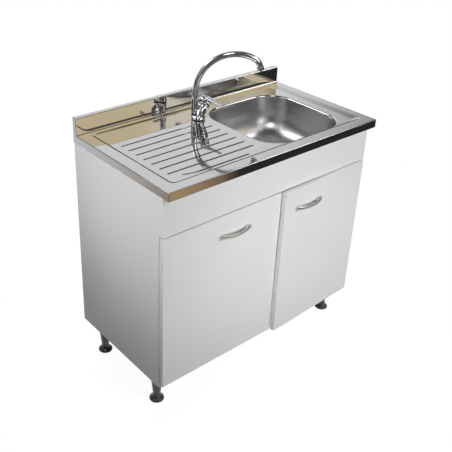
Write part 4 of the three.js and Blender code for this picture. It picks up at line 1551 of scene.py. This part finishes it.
@dataclass
class Tap(Assembly):
    """The mixer: a cast body, a swan-neck spout with its aerator, and a domed lever."""

    base: float = 24
    pillar: float = 12.5
    pillar_height: float = 70
    pillar_setback: float = 18
    tilt: float = 25
    housing: float = 66
    housing_foot: float = 15.5
    housing_radius: float = 19.5
    shank: float = 16
    shank_length: float = 48
    tube: float = 10
    tube_wall: float = 1.6
    rise: float = 18
    bend: float = 131
    sweep: float = 118
    hook: float = 40
    hook_sweep: float = 48
    swing: float = 54  # to the user's right, from straight ahead
    aerator: float = 12
    aerator_length: float = 14
    ball_lift: float = 14
    ball: float = 7.5
    hood_width: float = 40
    hood_length: float = 46
    hood_height: float = 35
    hood_back: float = 3.5
    hood_up: float = 2
    hood_rim: float = 2.5
    lever: float = 91
    lever_width: float = 22
    lever_thick: float = 8
    lever_root: float = 15
    lever_tip: float = 9.5
    narrowing: float = 0.42  # share of its width that the arm loses by its tip
    thinning: float = 0.45
    web_width: float = 18
    web_height: float = 0.4  # share of the pillar's height that the web reaches
    thread: int = 2
    thread_depth: float = 0.8
    seat: float = 14.8  # radius that the cartridge's cap closes the housing with
    cap: float = 17.5
    stalk: float = 4.2
    voxel: float = 0.8  # grain of the casting's skin
    running_gap: float = 0.3
    seal_inset: float = 3
    facets: int = 96
    pipe_facets: int = 72

    def build(self) -> None:
        """Makes the body, the spout and the lever, and keeps the fixings under the deck."""
        self.at = self.middle("tap_gasket")
        self.at.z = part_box("tap_gasket")[1].z + self.running_gap * MM
        self.dress(self.body(), CHROME, "base", "tap_body")
        self.dress(self.spout(), CHROME, "spout", "tap_spout")
        self.dress(self.outlet(), CHROME, "spout", "tap_aerator")
        self.dress(self.handle(), CHROME, "lever", "tap_lever")
        self.dress(self.cartridge(), CHROME, "lever_stem", "tap_stem")
        self.dress(self.seal(), GASKET, "base", "tap_gasket")
        self.keep(ZINC, "tap_washer", "tap_nut", "tap_inlet_hot", "tap_inlet_cold")

    def cast(self, thing: Thing, rounds: int) -> Thing:
        """Melts joined forms into one skin, as a casting's fillets do.

        Args:
            thing: Forms that overlap in one mesh.
            rounds: How often the skin is relaxed.

        Returns:
            The casting.
        """
        Bench.modify(thing, "REMESH", mode="VOXEL", voxel_size=self.voxel * MM)
        Bench.modify(thing, "SMOOTH", factor=0.5, iterations=rounds)
        return thing

    def lean(self, thing: Thing) -> Thing:
        """Leans a form that stands on the base towards the user."""
        return Bench.turn(thing, self.tilt, RIGHT, self.at)

    def body(self) -> Thing:
        """Base, spout pillar and leaning cartridge housing, cast in one, on a threaded shank.

        Returns:
            The body.
        """
        base, pipe, neck, head = self.base, self.pillar, self.housing_foot, self.housing_radius
        top, mouth = self.pillar_height, self.housing
        behind = self.at + point(0, self.pillar_setback, 0)
        foot = Bench.turned("tap_casting", (
            (0, 0), (base, 0), (base, 3), (base - 1.5, 6), (base - 5, 9.5), (neck + 0.5, 14),
            (neck - 1, 18), (0, 18),
        ), self.at, self.facets)
        pillar = Bench.turned("pillar", (
            (0, 0), (pipe + 1.5, 0), (pipe + 1.5, 4), (pipe, 8), (pipe, top - 4), (0, top - 4),
        ), behind, self.pipe_facets)
        housing = Bench.turned("housing", (
            (0, 2), (neck, 2), (neck, 25), (neck + 1.4, 33), (head - 0.8, 42), (head, 48),
            (head, mouth - 2), (0, mouth - 2),
        ), self.at, self.facets)
        side = self.web_width / 2
        web_top = behind + point(side, 0, top * self.web_height)
        web = Bench.box("web", self.at + point(-side, -2, 1), web_top, 3)
        away = self.base * 2.5
        below = Bench.box("below", self.at - point(away, away, 30), self.at + point(away, away, 0))
        casting = self.cast(Bench.join("tap_casting", foot, pillar, self.lean(housing), web), 12)
        Bench.carve(casting, below)
        collar = Bench.turned("collar", (
            (head - 4, mouth - 3.4), (head, mouth - 3.4), (head, mouth - 1.5), (head - 1.5, mouth),
            (head - 4, mouth), (head - 4, mouth - 3.4),
        ), self.at, self.facets)
        ring = Bench.turned("pillar_ring", (
            (0, top - 5), (pipe - 0.6, top - 5), (pipe - 0.6, top - 3.6), (pipe, top - 3.2),
            (pipe, top - 0.8), (pipe - 0.8, top), (0, top),
        ), behind, self.pipe_facets)
        body = Bench.join("tap_casting", casting, self.lean(collar), ring, self.threaded_shank())
        return Bench.smooth(body, 35, weigh=False)

    def threaded_shank(self) -> Thing:
        """The shank that goes through the deck, with its thread.

        Returns:
            The shank.
        """
        r, end, start, pitch = self.shank, -self.shank_length, -8, self.thread
        outline = [(0, 1), (r, 1), (r, start)]
        for z in range(start, round(end + pitch), -pitch):
            outline += [(r - self.thread_depth, z - pitch / 2), (r, z - pitch)]
        outline += [(r - 1, end), (0, end)]
        return Bench.turned("shank", outline, self.at)

    def cartridge(self) -> Thing:
        """The cartridge's domed cap with the ball that the lever rides on.

        Returns:
            The cap.
        """
        top, seat, cap, steps = self.housing, self.seat, self.cap, 10
        outline = [
            (0, top - 1.7), (seat, top - 1.7), (seat, top + 0.3), (cap - 0.1, top + 0.3),
            (cap, top + 0.6), (cap - 1.5, top + 2), (cap - 4.5, top + 4.4),
            (cap - 7.5, top + 5.8), (cap - 10.5, top + 7), (self.stalk, top + 7.6),
        ]
        ball = top + self.ball_lift
        for i in range(1, steps + 1):
            angle = math.radians(-58 + 148 * i / steps)  # from the stalk to the ball's top
            outline.append((self.ball * math.cos(angle), ball + self.ball * math.sin(angle)))
        return Bench.smooth(self.lean(Bench.turned("cartridge_cap", outline, self.at)), 50)

    def seal(self) -> Thing:
        """The rubber ring between the base and the deck, drawn in under the base's edge.

        Returns:
            The ring.
        """
        low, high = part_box("tap_gasket")
        rim, hole = self.base - self.seal_inset, self.shank + 0.5
        tall = (high.z - low.z) / MM
        form = Bench.turned("tap_seal", (
            (hole, 0), (rim - 0.4, 0), (rim, 0.4), (rim, tall - 0.4), (rim - 0.4, tall),
            (hole, tall), (hole, 0),
        ), Vector((self.at.x, self.at.y, low.z)), self.pipe_facets)
        return Bench.smooth(form)

    def spout(self) -> Thing:
        """A bent tube, extruded up, spun over in a wide arc and down in a tighter one.

        Returns:
            The spout, without its aerator.
        """
        foot = self.at + point(0, self.pillar_setback, self.pillar_height + self.running_gap)
        swing, sweep = math.radians(self.swing), math.radians(self.sweep)
        out = Vector((math.sin(swing), -math.cos(swing), 0))
        self.spring = foot + point(0, 0, self.rise)
        self.centre = self.spring + out * self.bend * MM
        self.hinge = UP.cross(out)
        radius = UP * math.sin(sweep) - out * math.cos(sweep)
        self.hook_centre = self.centre + radius * (self.bend - self.hook) * MM
        hook_sweep = math.radians(self.hook_sweep)
        tube = Bench.add(
            "circle", "swan_neck", vertices=48, radius=self.tube * MM, location=foot,
        )
        with Bench.editing(tube):
            Bench.extrude(point(0, 0, self.rise))
            for centre, angle, steps in (
                (self.centre, sweep, 84), (self.hook_centre, hook_sweep, 24),
            ):
                bpy.ops.mesh.spin(steps=steps, angle=-angle, center=centre, axis=self.hinge)
            Bench.face_out(TIP)
        Bench.modify(tube, "SOLIDIFY", thickness=self.tube_wall * MM, offset=-1)
        return Bench.smooth(tube, 50)

    def outlet(self) -> Thing:
        """The aerator: a ring with a groove round a sieve, turned to the spout's end.

        Returns:
            The aerator.
        """
        r, long, gap = self.aerator, self.aerator_length, self.running_gap
        shell = Bench.turned("aerator", (
            (r - 3, gap), (r - 1, gap), (r - 0.3, gap + 0.4), (r, gap + 1.4), (r, 5),
            (r - 0.5, 5.4), (r - 0.5, 6), (r, 6.4), (r, long - 2), (r - 0.3, long - 0.8),
            (r - 1, long), (r - 2.4, long), (r - 3, long - 0.8), (r - 3, gap),
        ), self.spring, self.pipe_facets)
        low, high = long * 0.62, long * 0.75
        sieve = Bench.turned("sieve", (
            (0, low), (r - 2.5, low), (r - 2.5, high), (r * 0.6, high), (r * 0.55, long * 0.72),
            (0, long * 0.72),
        ), self.spring, 48)
        outlet = Bench.join("aerator", shell, sieve)
        Bench.turn(outlet, self.sweep, self.hinge, self.centre)
        Bench.turn(outlet, self.hook_sweep, self.hinge, self.hook_centre)
        return Bench.smooth(outlet)

    def hood(self, ball: Vector) -> Thing:
        """The hood over the cartridge's ball, open ended below at a slant.

        Args:
            ball: The ball's centre.

        Returns:
            The hood.
        """
        hood = Bench.add(
            "uv_sphere", "tap_handle", point(self.hood_width, self.hood_length, self.hood_height),
            segments=64, ring_count=48, radius=0.5,
            location=ball + point(0, self.hood_back, self.hood_up),
        )
        axis = (ball - self.at).normalized()
        rim = ball - axis * self.hood_rim * MM
        with Bench.editing(hood):
            bpy.ops.mesh.bisect(plane_co=rim, plane_no=axis, use_fill=True, clear_inner=True)
        return hood

    def handle(self) -> Thing:
        """The hood, and the flat arm that thins towards the user.

        Returns:
            The lever's handle.
        """
        tilt = math.radians(self.tilt)
        height = (self.housing + self.ball_lift) * MM
        ball = self.at + Vector((0, -math.sin(tilt) * height, math.cos(tilt) * height))
        stations = []
        steps = 24
        start = self.ball + 2
        for i in range(steps + 1):
            t = i / steps
            run = start + t * (self.lever - start)
            lift = self.lever_root + t * (self.lever_tip - self.lever_root)
            tip = 0.7 if i == steps else 1  # the last ring is smaller, which rounds the end
            half_width = self.lever_width / 2 * (1 - self.narrowing * t) * tip
            half_thick = self.lever_thick / 2 * (1 - self.thinning * t) * tip
            spot = ball + point(0, -run, lift)
            stations.append(Station(spot, RIGHT, UP, half_width, half_thick))
        arm = Bench.lofted("arm", stations[0].at, Vector((0, -1, 0)), stations, 32)
        handle = self.cast(Bench.join("tap_handle", self.hood(ball), arm), 10)
        return Bench.smooth(handle, 60, weigh=False)


@dataclass
class Waste(Assembly):
    """The bowl's waste with its lift-out strainer, and the bottle trap that hangs from it."""

    flange: float = 56
    cup: float = 40
    cup_depth: float = 34
    wall: float = 1.8
    throat: float = 18
    tail: float = 26
    tail_in_trap: float = 12  # how much of the tail the trap's nut takes in
    nut: float = 58
    nut_height: float = 9
    nut_facets: int = 120
    nut_grips: int = 30
    sheet: float = 1.4
    gap: float = 0.3
    basket_depth: float = 26
    basket_play: float = 0.8
    basket_overlap: float = 2  # how far the basket's rim lies on the waste's
    holes: int = 8
    hole: float = 2.4
    pipe: float = 16
    trap_nut: float = 27
    trap_nut_height: float = 20
    bottle: float = 33
    bottle_height: float = 92
    bottle_wall: float = 2.2
    screw_cup: float = 46
    outlet_drop: float = 22
    spigot: float = 20
    outlet_nut_start: float = 12  # from the bottle's side
    outlet_nut_length: float = 20
    pipe_wall: float = 1.8
    facets: int = 96
    grips: int = 24

    def build(self) -> None:
        """Turns and dresses the steel fittings in the bowl and the white ones below it."""
        self.at = self.middle("waste_nut")
        self.at.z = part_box("waste_nut")[1].z + (self.sheet + self.gap) * MM
        steel = SteelSheet(
            "polished_waste_steel", "satin_steel", "CCCBC8", 0.14, lay=Lay.ROUND, line=0.7,
            line_depth=0.04, centre=(self.at.x / MM, self.at.y / MM),
        )
        self.dress(self.body(), steel, "base", "waste_body")
        self.dress(self.basket(), steel, "strainer", "strainer_basket")
        self.dress(self.waste_nut(), PIPE_WHITE, "base", "waste_nut")
        for make, name in (
            (self.inlet_nut, "trap_nut"), (self.vessel, "trap_bottle"),
            (self.cleaning_cup, "trap_cup"), (self.outlet_nut, "trap_outlet_nut"),
            (self.outlet_pipe, "trap_outlet_pipe"),
        ):
            self.dress(make(), PIPE_WHITE, "base", name)

    def body(self) -> Thing:
        """The waste: a wide flange, the cup for the strainer, and the tail.

        Returns:
            The waste.
        """
        out, inn, rim, gap = self.cup, self.cup - self.wall, self.flange, self.gap
        pipe, bore = self.throat, self.throat - self.wall
        deep = -self.cup_depth
        end, floor = deep - self.tail, deep + self.wall
        form = Bench.turned("waste", (
            (bore, end), (pipe, end), (pipe, deep - 2), (pipe + 2, deep), (out - 4, deep),
            (out - 1.2, deep + 1.8), (out, deep + 6), (out, gap), (rim - 0.4, gap),
            (rim, gap + 0.5), (rim - 0.5, gap + 1.5), (rim - 2.5, gap + 2), (inn + 5, gap + 1.8),
            (inn + 2, gap + 1), (inn + 0.4, -0.8), (inn, -3), (inn, deep + 7),
            (inn - 1.6, deep + 3.2), (out - 6, floor), (bore, floor), (bore, end),
        ), self.at, self.facets)
        return Bench.smooth(form)

    def basket(self) -> Thing:
        """The strainer: a pressed cup with rings of holes and a knob.

        Returns:
            The strainer.
        """
        out = self.cup - self.wall - self.basket_play
        rim = self.cup - self.wall + self.basket_overlap
        top = self.gap + 2
        deep = top - self.basket_depth
        form = Bench.turned("strainer", (
            (0, deep), (out - 6, deep), (out - 3, deep + 1.2), (out - 2, deep + 4),
            (out - 1, -1.5), (rim - 0.4, top + 0.2), (rim, top + 0.7), (rim - 0.2, top + 1.6),
            (rim - 1.4, top + 1.7), (out - 2.4, 0), (out - 3.4, deep + 5.4),
            (out - 4.4, deep + 2.4), (out - 6, deep + 1.4), (5, deep + 1.4), (4, deep + 4),
            (3, top - 8), (6, top - 6.5), (8.6, top - 4.4), (9, top - 3), (8.2, top - 0.6),
            (5, top + 0.8), (0, top + 1),
        ), self.at)
        drill = ((0, deep - 2), (self.hole, deep - 2), (self.hole, deep + 3.2), (0, deep + 3.2))
        for count, share in ((self.holes, 0.56), (self.holes * 2, 0.8), (self.holes, 0.33)):
            for i in range(count):
                angle = 2 * math.pi * i / count
                spot = point(out * share * math.cos(angle), out * share * math.sin(angle), 0)
                Bench.carve(form, Bench.turned("drill", drill, self.at + spot, 16))
        return Bench.smooth(form)

    def ribbed(self, nut: Thing, centre: Vector, radius: float, height: float, ribs: int) -> Thing:
        """Raises grips round a nut.

        Args:
            nut: The turned nut, with four facets to a rib.
            centre: A point on its axis.
            radius: Faces further out than this, in mm, carry the grips.
            height: How far a grip stands out, in mm.
            ribs: How many there are.

        Returns:
            The nut.
        """
        def outer(face: bmesh.types.BMFace) -> bool:
            """Whether a face is on the rim and belongs to a grip.

            Args:
                face: A face of the nut.

            Returns:
                True for a face of a grip.
            """
            away = face.calc_center_median() - centre
            share = math.atan2(away.y, away.x) / (2 * math.pi) * ribs % 1
            upright = abs(face.normal.z) < 0.3
            return math.hypot(away.x, away.y) > radius * MM and upright and share < 0.5

        with Bench.editing(nut):
            Bench.pick(Part.FACE, outer)
            out = {"value": height * MM}
            bpy.ops.mesh.extrude_region_shrink_fatten(TRANSFORM_OT_shrink_fatten=out)
        return nut

    def waste_nut(self) -> Thing:
        """The wide ribbed nut under the bowl.

        Returns:
            The nut.
        """
        bore, rim, top = self.cup + self.gap, self.nut, -self.sheet - self.gap
        low = top - self.nut_height
        form = Bench.turned("waste_ring_nut", (
            (bore, low), (rim - 5.6, low), (rim - 5, low + 0.6), (rim - 5, top - 3.4),
            (rim - 4.4, top - 3), (rim - 0.5, top - 3), (rim, top - 2.5), (rim, top - 0.5),
            (rim - 0.5, top), (bore, top), (bore, low),
        ), self.at, self.nut_facets)
        return Bench.smooth(self.ribbed(form, self.at, rim - 5.5, 0.8, self.nut_grips))

    @property
    def bottle_top(self) -> float:
        """Height of the bottle's top over the waste's seat, in mm."""
        end = -self.cup_depth - self.tail
        return end + self.tail_in_trap - self.trap_nut_height - self.gap

    def inlet_nut(self) -> Thing:
        """The nut that clamps the trap to the waste's tail.

        Returns:
            The nut.
        """
        bore, rim, low = self.throat + self.gap, self.trap_nut, self.bottle_top + self.gap
        top = low + self.trap_nut_height
        form = Bench.turned("trap_inlet_nut", (
            (bore, low), (rim - 2.2, low), (rim - 1, low + 1.2), (rim - 1, low + 14),
            (rim - 2, top - 2.4), (rim - 4.5, top), (bore, top), (bore, low),
        ), self.at, self.facets)
        return Bench.smooth(self.ribbed(form, self.at, rim - 1.8, 1, self.grips))

    def vessel(self) -> Thing:
        """The bottle with its dip tube and the side outlet.

        Returns:
            The bottle.
        """
        top, low = self.bottle_top, self.bottle_top - self.bottle_height
        r, wall, pipe, bore = self.bottle, self.bottle_wall, self.pipe, self.pipe - self.pipe_wall
        dip, shoulder = low + self.screw_cup * 0.4, top - wall
        shell = Bench.turned("trap_vessel", (
            (bore, top), (bore, dip), (pipe, dip), (pipe, shoulder - 10),
            (r - wall - 3, shoulder - 13), (r - wall, shoulder - 16), (r - wall, low), (r, low),
            (r, top - 17), (r - 1.2, top - 14.4), (r - 4, top - 12.6), (pipe + 7, top - 9),
            (pipe + 6, top - 7.6), (pipe + 6, top), (bore, top),
        ), self.at, self.facets)
        root, end = r - 3.4, r + self.spigot
        spigot = self.lying("spigot", (
            (bore, root), (pipe + 2, root), (pipe + 2, end), (bore, end), (bore, root),
        ))
        return Bench.smooth(Bench.join("trap_vessel", shell, spigot))

    def lying(self, name: str, profile: Profile, ribs: float = 0) -> Thing:
        """A form turned about the outlet's level axis, which runs back to the wall.

        Args:
            name: The piece's name.
            profile: Radius, and distance behind the waste's axis, in mm.
            ribs: Rim radius in mm from which grips are raised, or 0 for none.

        Returns:
            The form.
        """
        axis = self.at + point(0, 0, self.bottle_top - self.outlet_drop - self.pipe)
        form = Bench.turned(name, profile, axis, self.facets)
        if ribs:
            self.ribbed(form, axis, ribs, 1, self.grips)
        return Bench.turn(form, -90, RIGHT, axis)

    def cleaning_cup(self) -> Thing:
        """The ribbed cup that screws on below for cleaning.

        Returns:
            The cup.
        """
        low, r, bore = self.bottle_top - self.bottle_height, self.bottle, self.bottle + self.gap
        form = Bench.turned("trap_screw_cup", (
            (0, low - 10), (r - 8, low - 10), (r - 4.5, low - 9), (r - 1, low - 6.4),
            (r + 1, low - 4), (r + 2, low), (r + 2.2, low + 21), (r + 3, low + 22),
            (r + 3, low + 23), (bore, low + 23), (bore, low - self.gap), (r - 6, low - 7),
            (0, low - 7),
        ), self.at, self.facets)
        return Bench.smooth(self.ribbed(form, self.at, r + 1.6, 1.4, self.grips))

    def outlet_nut(self) -> Thing:
        """The nut that clamps the outlet pipe.

        Returns:
            The nut.
        """
        rim, start = self.trap_nut - 3, self.bottle + self.outlet_nut_start
        wide, bore, end = self.pipe + 2.3, self.pipe + self.gap, start + self.outlet_nut_length
        return Bench.smooth(self.lying("trap_side_nut", (
            (wide, start), (rim - 1, start), (rim, start + 1), (rim, start + 15),
            (rim - 2, end - 2), (rim - 4, end), (bore, end), (bore, start + 9),
            (wide, start + 9), (wide, start),
        ), rim - 0.8))

    def outlet_pipe(self) -> Thing:
        """The plain pipe to the wall.

        Returns:
            The pipe.
        """
        start = self.bottle + self.spigot + self.gap
        r, bore = self.pipe, self.pipe - self.pipe_wall
        end = (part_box("trap_outlet_pipe")[1].y - self.at.y) / MM
        return Bench.smooth(self.lying("trap_wall_pipe", (
            (bore, start), (r, start), (r, end - 1), (r - 0.6, end), (bore, end), (bore, start),
        )))


# ---- studio ------------------------------------------------------------------------------------


@dataclass(frozen=True)
class Card:
    """A soft-edged patch of the studio round the unit: a lit wall, a window or a dark flag."""

    towards: tuple[float, float, float]
    inner: float  # degrees from its middle to where it starts to fade
    outer: float  # degrees from its middle to where it has gone
    colour: tuple[float, float, float]

    def over(self, tree: Tree, way: Socket, under: Socket | tuple[float, ...]) -> Socket:
        """Lays the card over what the studio shows already.

        Args:
            tree: The world's nodes.
            way: The socket with the direction that is looked in.
            under: The colour, or the socket with it, that shows round the card.

        Returns:
            The socket with the colour of both.
        """
        toward = Vector(self.towards).normalized()
        near = node(tree, "VectorMath", {0: way, 1: toward}, operation="DOT_PRODUCT")
        share = node(tree, "MapRange", {
            "Value": near.outputs["Value"], "From Min": math.cos(math.radians(self.outer)),
            "From Max": math.cos(math.radians(self.inner)),
        }, interpolation_type="SMOOTHSTEP")
        both = node(tree, "Mix", {
            "Factor": share.outputs["Result"], "A": under, "B": (*self.colour, 1),
        }, data_type="RGBA")
        return both.outputs["Result"]


@dataclass
class Studio:
    """The camera of the photograph, a pale floor and soft lights, placed in metres."""

    place: tuple[float, float, float] = (-1.485, -1.572, 1.749)
    azimuth: float = -40.27
    elevation: float = 27.93
    roll: float = 1.68
    lens: float = 56.3  # mm
    shift: tuple[float, float] = (0.0686, -0.0814)
    film: float = 36  # mm across
    daylight: float = 0.09  # what the dome gives matt surfaces
    paper: float = 0.15  # how much light the floor throws back on the unit
    lamp_light: float = 0.4  # how bright the lamps alone would make white paper
    paper_middle: tuple[float, float, float] = (0.2, 0.3, 0)
    paper_size: float = 2.6
    paper_fade: tuple[float, float] = (0.4, 0.9)  # where the floor turns to plain white
    softness: float = 0.25  # radius of a spot's lamp, for the edges of its shadows
    walls: tuple[float, float, float] = (0.09, 0.09, 0.09)
    cards: tuple[Card, ...] = (
        Card((0, 0, -1), 68, 86, (0.28, 0.21, 0.15)),  # the room's brown floor
        Card((0.53, -0.70, -0.48), 1, 5, (0.48, 0.35, 0.19)),  # light on that floor
        Card((0.85, -0.35, -0.38), 21.5, 23.5, (0.03, 0.03, 0.03)),  # dark floor to the right
        Card((-0.38, 0.86, -0.33), 2, 19, (0.72, 0.74, 0.78)),  # pale floor behind, to the left
        Card((0.27, 0.96, 0.0), 36, 50, (0.88, 0.9, 0.94)),  # pale wall behind
        Card((0.68, 0.72, -0.08), 17, 20.5, (0.05, 0.05, 0.05)),  # dark skirting of that wall
        Card((-0.96, 0.02, 0.27), 9, 20, (0.55, 0.56, 0.58)),  # low pale wall, left
        Card((0.24, 0.28, 0.93), 10, 20, (0.4, 0.4, 0.41)),  # grey ceiling
        Card((0.26, -0.69, 0.67), 8, 20, (1.2, 1.2, 1.23)),  # pale ceiling in front
        Card((-0.68, 0.26, 0.67), 8, 20, (1.2, 1.2, 1.23)),  # pale ceiling to the left
        Card((-0.43, -0.44, 0.79), 5, 11, (7.0, 7.0, 7.0)),  # lamp over the camera
        Card((0.1, -0.93, 0.33), 8, 17, (3.0, 3.0, 3.0)),  # window in front
        Card((0.68, -0.30, 0.67), 3.5, 8, (9.0, 9.0, 9.2)),  # lamp to the right
        Card((-0.48, 0.6, 0.64), 6, 12, (6.0, 6.0, 6.1)),  # lamp behind
        Card((0.54, -0.66, 0.52), 13.5, 18, (1.15, 1.0, 0.7)),  # warm wall in front
        Card((0.61, -0.70, 0.365), 1.5, 6, (1.28, 1.26, 1.14)),  # its whiter end
        Card((0.71, -0.63, 0.31), 1.5, 3.5, (0.3, 0.25, 0.2)),  # a brown thing beside it
        Card((0.54, -0.43, 0.72), 6, 9, (0.12, 0.11, 0.1)),  # a dark beam over it
        Card((0.615, -0.7, 0.285), 3, 4.6, (0.12, 0.115, 0.105)),  # a dark thing against it
    )

    def build(self) -> None:
        """Sets up the camera, the floor, the dome and the lamps."""
        self.camera()
        self.floor()
        self.dome()
        self.lamps()
        bpy.context.scene.view_settings.view_transform = "Standard"

    def camera(self) -> None:
        """Looks from where the photograph was taken, with the picture shifted in the same way."""
        a, e = math.radians(self.azimuth), math.radians(self.elevation)
        back = Vector((math.sin(a) * math.cos(e), -math.cos(a) * math.cos(e), math.sin(e)))
        bpy.ops.object.camera_add(location=self.place)
        camera = bpy.context.active_object
        camera.rotation_mode = "QUATERNION"
        level = (-back).to_track_quat("-Z", "Y")
        camera.rotation_quaternion = level @ Quaternion((0, 0, 1), math.radians(self.roll))
        camera.data.lens = self.lens
        camera.data.sensor_width = self.film
        camera.data.shift_x, camera.data.shift_y = self.shift
        bpy.context.scene.camera = camera

    @staticmethod
    def seen_by(tree: Tree, *kinds: str) -> Socket:
        """Tells the rays that show a thing from the rays that light by it.

        Args:
            tree: The nodes of a material or of the world.
            kinds: The kinds of ray that show it.

        Returns:
            A socket that is 1 for those rays and 0 for others.
        """
        rays = node(tree, "LightPath").outputs
        seen = rays[f"Is {kinds[0]} Ray"]
        for kind in kinds[1:]:
            both = {0: seen, 1: rays[f"Is {kind} Ray"]}
            seen = node(tree, "Math", both, operation="MAXIMUM").outputs[0]
        return seen

    def floor(self) -> None:
        """White paper under the unit, which keeps its soft shadow and fades to plain white."""
        wide = self.paper_size
        floor = Bench.add(
            "plane", "studio_floor", (wide, wide, 1), size=1, location=self.paper_middle,
        )
        material = bpy.data.materials.new("matt_white_sweep")
        material.use_nodes = True
        tree = material.node_tree
        tree.nodes.clear()
        seen = self.seen_by(tree, "Camera", "Glossy", "Transmission")
        near, far = self.paper_fade
        matt = node(tree, "BsdfDiffuse", {"Color": (self.paper, self.paper, self.paper, 1)})
        glow = node(tree, "Emission", {
            "Color": (1, 1, 1, 1), "Strength": 1 - self.lamp_light * self.paper,
        })
        paper = node(tree, "AddShader", {0: matt.outputs[0], 1: glow.outputs[0]})
        lit = node(tree, "MixShader", {"Fac": seen, 1: matt.outputs[0], 2: paper.outputs[0]})
        place = node(tree, "NewGeometry").outputs["Position"]
        away = node(tree, "VectorMath", {0: place}, operation="LENGTH")
        edge = node(tree, "MapRange", {
            "Value": away.outputs["Value"], "From Min": near, "From Max": far,
        }, interpolation_type="SMOOTHSTEP")
        part = node(tree, "Math", {0: edge.outputs["Result"], 1: seen}, operation="MULTIPLY")
        white = node(tree, "Emission", {"Color": (1, 1, 1, 1), "Strength": 1.0})
        fade = node(tree, "MixShader", {
            "Fac": part.outputs[0], 1: lit.outputs[0], 2: white.outputs[0],
        })
        node(tree, "OutputMaterial", {"Surface": fade.outputs[0]})
        floor.data.materials.append(material)

    def dome(self) -> None:
        """White behind the unit, soft walls and flags in the metal, and plain light elsewhere."""
        world = bpy.data.worlds.new("studio_dome")
        bpy.context.scene.world = world
        world.use_nodes = True
        tree = world.node_tree
        tree.nodes.clear()
        way = node(tree, "TexCoord").outputs["Generated"]
        colour = (*self.walls, 1)
        for card in self.cards:
            colour = card.over(tree, way, colour)
        light = node(tree, "Background", {"Color": (1, 1, 1, 1), "Strength": self.daylight})
        room = node(tree, "Background", {"Color": colour, "Strength": 1.0})
        white = node(tree, "Background", {"Color": (1, 1, 1, 1), "Strength": 1.0})
        metal = node(tree, "MixShader", {
            "Fac": self.seen_by(tree, "Glossy"), 1: light.outputs[0], 2: room.outputs[0],
        })
        both = node(tree, "MixShader", {
            "Fac": self.seen_by(tree, "Camera", "Transmission"),
            1: metal.outputs[0], 2: white.outputs[0],
        })
        node(tree, "OutputWorld", {"Surface": both.outputs[0]})

    def lamps(self) -> None:
        """A key from the front right, fills all round, and spots on the left side and doors."""
        for name, place, aim, size, power in (
            ("key", (1.1, -3.6, 2.4), (0, 0, 0.5), 1.6, 78.0),
            ("fill", (-1.2, -3.4, 2.6), (0, 0, 0.5), 2.0, 12.0),
            ("right_fill", (3.4, 0.7, 2.0), (0, 0, 0.5), 2.0, 75.0),
            ("back_fill", (0.4, 3.6, 1.8), (0, 0, 0.5), 2.0, 100.0),
        ):
            bpy.ops.object.light_add(type="AREA", location=place)
            lamp = bpy.context.active_object
            lamp.data.size = size
            self.point_lamp(lamp, name, power, aim)
        for name, place, aim, cone, power in (
            ("side_spot", (-2.3, 0.1, 1.35), (-0.45, 0.05, 0.9), 39, 100.0),
            ("door_spot", (-2.2, -2.6, 1.4), (0.18, -0.22, 0.52), 23, 210.0),
        ):
            bpy.ops.object.light_add(type="SPOT", location=place)
            lamp = bpy.context.active_object
            lamp.data.spot_size, lamp.data.spot_blend = math.radians(cone), 1.0
            lamp.data.shadow_soft_size = self.softness
            self.point_lamp(lamp, name, power, aim)

    @staticmethod
    def point_lamp(lamp: Thing, name: str, power: float, aim: tuple[float, float, float]) -> None:
        """Finishes a lamp, keeps it out of the metal and turns it to where it shines.

        Args:
            lamp: The lamp, in its place.
            name: Its name.
            power: Its power in watts.
            aim: The point that it shines on.
        """
        lamp.name = name
        lamp.data.energy = power
        lamp.visible_glossy = False
        lamp.rotation_mode = "QUATERNION"
        lamp.rotation_quaternion = (Vector(aim) - lamp.location).to_track_quat("-Z", "Y")


def main() -> None:
    """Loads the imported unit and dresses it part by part."""
    logging.basicConfig(level=logging.INFO, format="%(message)s")
    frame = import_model()
    Studio().build()
    for part in (
        Cabinet(frame), Door(frame, Side.LEFT, handle_from_split=202, ajar=0),
        Door(frame, Side.RIGHT, handle_from_split=116, ajar=2.5), Legs(frame), SinkTop(frame),
        Bowl(frame), Waste(frame), Tap(frame),
    ):
        log.info("-- %s", type(part).__name__)
        part.build()
    bpy.ops.object.select_all(action="DESELECT")


if __name__ == "__main__":
    main()
